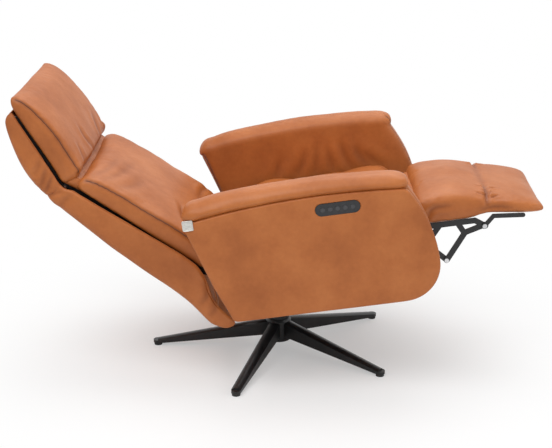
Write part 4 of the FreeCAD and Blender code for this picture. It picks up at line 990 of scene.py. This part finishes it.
def make_back_shell():
    """The back's outer cover, which runs on over the bend and under the headrest's cover."""
    knots = [
        (-0.083, 0.270, -0.100, -0.088), (-0.072, 0.275, -0.114, -0.082), (-0.05, 0.277, -0.124, -0.078),
        (-0.03, 0.278, -0.128, -0.074), (0.016, 0.276, -0.120, -0.058), (0.06, 0.274, -0.113, -0.022),
        (0.095, 0.272, -0.110, -0.006), (0.131, 0.270, -0.108, -0.002), (0.205, 0.268, -0.106, -0.003),
        (0.269, 0.266, -0.103, -0.006), (0.322, 0.265, -0.100, -0.008), (0.384, 0.264, -0.093, -0.0105),
        (0.448, 0.262, -0.086, -0.0125), (0.495, 0.260, -0.0805, -0.0135)]
    rings = shell_rings(knots, 48, SHELL_WALL)
    # Over the bend the sections narrow and turn with the headrest
    for t in np.linspace(0, 1, 13)[1:]:
        half = 0.260 - 0.0065 * t
        rear = -0.0505 + 0.003 * t
        front = 0.0165 - 0.0155 * t
        flat = trough(half, rear, front, SHELL_WALL - 0.003 * t)
        place = shift(*HEAD_HINGE) @ rot_y(HEAD_TURN * float(smooth_step(t, 0.1, 0.9)))
        ring = np.column_stack([flat[:, 0], flat[:, 1], np.full(len(flat), -0.025 + 0.047 * t)])
        rings.append(to_row(place, ring))
    made = shell_mesh("back_cover", rings, BACK, 0.12, 0.0015, 17)
    creases(made, BACK, [
        ([(-0.030, -0.262, 0.515), (-0.05, -0.262, 0.535), (-0.075, -0.25, 0.55)], 0.006, 0.002, 0.001),
        ([(-0.02, -0.264, 0.49), (-0.045, -0.264, 0.50), (-0.08, -0.25, 0.50)], 0.01, 0.002, 0.002),
        ([(-0.02, -0.275, 0.06), (-0.06, -0.278, 0.03), (-0.1, -0.275, 0.03)], 0.01, 0.003, 0.002),
        ([(-0.03, -0.275, 0.04), (-0.08, -0.278, -0.01), (-0.12, -0.27, -0.01)], 0.01, 0.003, 0.002)])
    finish_piece(made, None, "back_shell")
    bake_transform(made)


def make_head_shell():
    """The headrest's outer cover."""
    knots = [
        (0.008, 0.2565, -0.0500, 0.002), (0.05, 0.2565, -0.060, 0.003), (0.09, 0.256, -0.0635, 0.003),
        (0.155, 0.255, -0.0565, 0.002), (0.197, 0.254, -0.046, 0.002), (0.225, 0.253, -0.036, 0.002),
        (0.24, 0.251, -0.028, 0.002), (0.249, 0.247, -0.017, 0.001)]
    made = shell_mesh("head_cover", shell_rings(knots, 34, 0.009), HEAD, 0.1, 0.0012, 19)
    creases(made, HEAD, [
        ([(-0.004, -0.256, 0.075), (-0.03, -0.258, 0.05), (-0.055, -0.25, 0.035)], 0.008, 0.003, 0.002),
        ([(0.0, -0.256, 0.05), (-0.02, -0.258, 0.035), (-0.05, -0.25, 0.015)], 0.007, 0.003, 0.002),
        ([(-0.004, -0.256, 0.105), (-0.025, -0.258, 0.085), (-0.045, -0.25, 0.075)],
         0.008, 0.002, 0.0015)])
    finish_piece(made, "head", "head_shell")


def make_neck():
    """The leather between the back cushion and the headrest."""
    knots = [
        (0.455, 0.225, -0.010, 0.010, 0.014), (0.475, 0.235, -0.014, 0.016, 0.020),
        (0.500, 0.238, -0.016, 0.018, 0.022), (0.520, 0.238, -0.018, 0.016, 0.020),
        (0.540, 0.236, -0.018, 0.014, 0.018), (0.560, 0.228, -0.010, 0.014, 0.016)]
    made, _, _ = cushion("neck_cover", BACK, "z", knots, step=0.008)
    remesh(made, 0.006)
    rumple(made, 0.06, 0.003, 23)
    subdivide(made)
    finish_piece(made, None, fill=0.5)
    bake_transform(made)


def make_slack(side, sign):
    """A loop of slack leather that hangs in the hollow between the back's cover and the arm."""
    middle = smooth_path([(0.010, 0.092), (-0.012, 0.055), (-0.042, 0.018), (-0.066, -0.006),
                          (-0.082, -0.016), (-0.088, -0.008), (-0.078, 0.008), (-0.056, 0.028),
                          (-0.034, 0.052)], 0.005)
    ahead = np.gradient(middle, axis=0)
    ahead /= np.linalg.norm(ahead, axis=1)[:, None]
    across = np.column_stack([-ahead[:, 1], ahead[:, 0]])
    thick, sides, level = 0.0022, 14, 0.2535
    rings = []
    for i, (point, out) in enumerate(zip(middle, across)):
        wide = 0.018 + 0.004 * math.sin(i * 0.3)
        ring = []
        for j in range(sides):
            a = j * math.pi / (sides / 2)
            x, z = point + out * (thick * math.sin(a))
            ring.append((x, sign * (level + wide * math.cos(a) * 0.98), z))
        rings.append(ring)
    made = rings_mesh(f"slack_fold_{side}", rings, BACK)
    subdivide(made)
    finish_piece(made, "back")


make_seat()
make_back()
make_headrest()
make_leg_rest()
for side, sign in (("left", 1), ("right", -1)):
    make_panel(side, sign)
    make_sleeve(side, sign)
    make_slack(side, sign)
make_tag()
make_back_shell()
make_head_shell()
make_neck()


# Stage, light and camera

def make_stage():
    """A white floor that shows the chair's shadow near it."""
    bpy.ops.mesh.primitive_plane_add(size=9, location=(0, 0, -0.0005))
    floor = bpy.context.object
    floor.name = "floor"
    made, tree, surface = shader("floor_white")
    surface.inputs["Base Color"].default_value = (0.96, 0.96, 0.96, 1)
    surface.inputs["Roughness"].default_value = 0.7
    surface.inputs["Specular IOR Level"].default_value = 0.2
    # Away from the chair the floor fades into plain white for the camera
    place = add(tree, "ShaderNodeTexCoord")
    far = add(tree, "ShaderNodeVectorMath", operation="LENGTH")
    fade = add(tree, "ShaderNodeMapRange", interpolation_type="SMOOTHSTEP")
    fade.inputs["From Min"].default_value = 0.2
    fade.inputs["From Max"].default_value = 1.15
    fade.inputs["To Min"].default_value = 0.35
    path = add(tree, "ShaderNodeLightPath")
    both = add(tree, "ShaderNodeMath", operation="MULTIPLY")
    white = add(tree, "ShaderNodeEmission", Strength=1.0)
    mix = add(tree, "ShaderNodeMixShader")
    tree.links.new(place.outputs["Object"], far.inputs[0])
    tree.links.new(far.outputs["Value"], fade.inputs["Value"])
    tree.links.new(fade.outputs["Result"], both.inputs[0])
    tree.links.new(path.outputs["Is Camera Ray"], both.inputs[1])
    tree.links.new(both.outputs[0], mix.inputs["Fac"])
    tree.links.new(surface.outputs["BSDF"], mix.inputs[1])
    tree.links.new(white.outputs[0], mix.inputs[2])
    tree.links.new(mix.outputs[0], tree.nodes["Material Output"].inputs["Surface"])
    paint(floor, made)


def area_light(name, place, target, size, power):
    data = bpy.data.lights.new(name, "AREA")
    data.shape = "SQUARE"
    data.size = size
    data.energy = power
    lamp = bpy.data.objects.new(name, data)
    lamp.location = place
    lamp.rotation_euler = (Vector(target) - Vector(place)).to_track_quat("-Z", "Y").to_euler()
    bpy.context.scene.collection.objects.link(lamp)


def make_light():
    """Three soft lamps in a dim white world, which the camera, gloss and glass see as plain white."""
    area_light("key", (-1.0, -2.0, 3.2), (0, 0, 0.4), 2.2, 62)
    area_light("top", (0.3, 0.9, 3.0), (0, 0, 0.3), 2.4, 48)
    area_light("fill", (2.8, -1.4, 1.5), (0, 0, 0.4), 1.8, 16)
    world = bpy.data.worlds.new("world")
    bpy.context.scene.world = world
    world.use_nodes = True
    tree = world.node_tree
    tree.nodes.clear()
    white = (1, 1, 1, 1)
    out = add(tree, "ShaderNodeOutputWorld")
    path = add(tree, "ShaderNodeLightPath")
    dim = add(tree, "ShaderNodeBackground", Color=white, Strength=0.42)
    bright = add(tree, "ShaderNodeBackground", Color=white, Strength=1.0)
    first = add(tree, "ShaderNodeMath", operation="ADD")
    second = add(tree, "ShaderNodeMath", operation="ADD", use_clamp=True)
    mix = add(tree, "ShaderNodeMixShader")
    tree.links.new(path.outputs["Is Camera Ray"], first.inputs[0])
    tree.links.new(path.outputs["Is Glossy Ray"], first.inputs[1])
    tree.links.new(first.outputs[0], second.inputs[0])
    tree.links.new(path.outputs["Is Transmission Ray"], second.inputs[1])
    tree.links.new(second.outputs[0], mix.inputs["Fac"])
    tree.links.new(dim.outputs[0], mix.inputs[1])
    tree.links.new(bright.outputs[0], mix.inputs[2])
    tree.links.new(mix.outputs[0], out.inputs["Surface"])


CAMERA_PLACE = (0.04684, -3.56910, 1.58322)
CAMERA_RISE = 18.524
CAMERA_TURN = -0.865
CAMERA_LENS = 83.12


def make_camera():
    """The photo's view, from the chair's right side and looking down."""
    data = bpy.data.cameras.new("camera")
    data.sensor_width = 36
    data.lens = CAMERA_LENS
    made = bpy.data.objects.new("camera", data)
    bpy.context.scene.collection.objects.link(made)
    made.location = CAMERA_PLACE
    rise = math.radians(CAMERA_RISE)
    turn = math.radians(CAMERA_TURN)
    ahead = Vector((math.sin(turn) * math.cos(rise), math.cos(turn) * math.cos(rise), -math.sin(rise)))
    made.rotation_euler = ahead.to_track_quat("-Z", "Y").to_euler()
    bpy.context.scene.camera = made


make_stage()
make_light()
make_camera()
bpy.context.scene.view_settings.view_transform = "Standard"
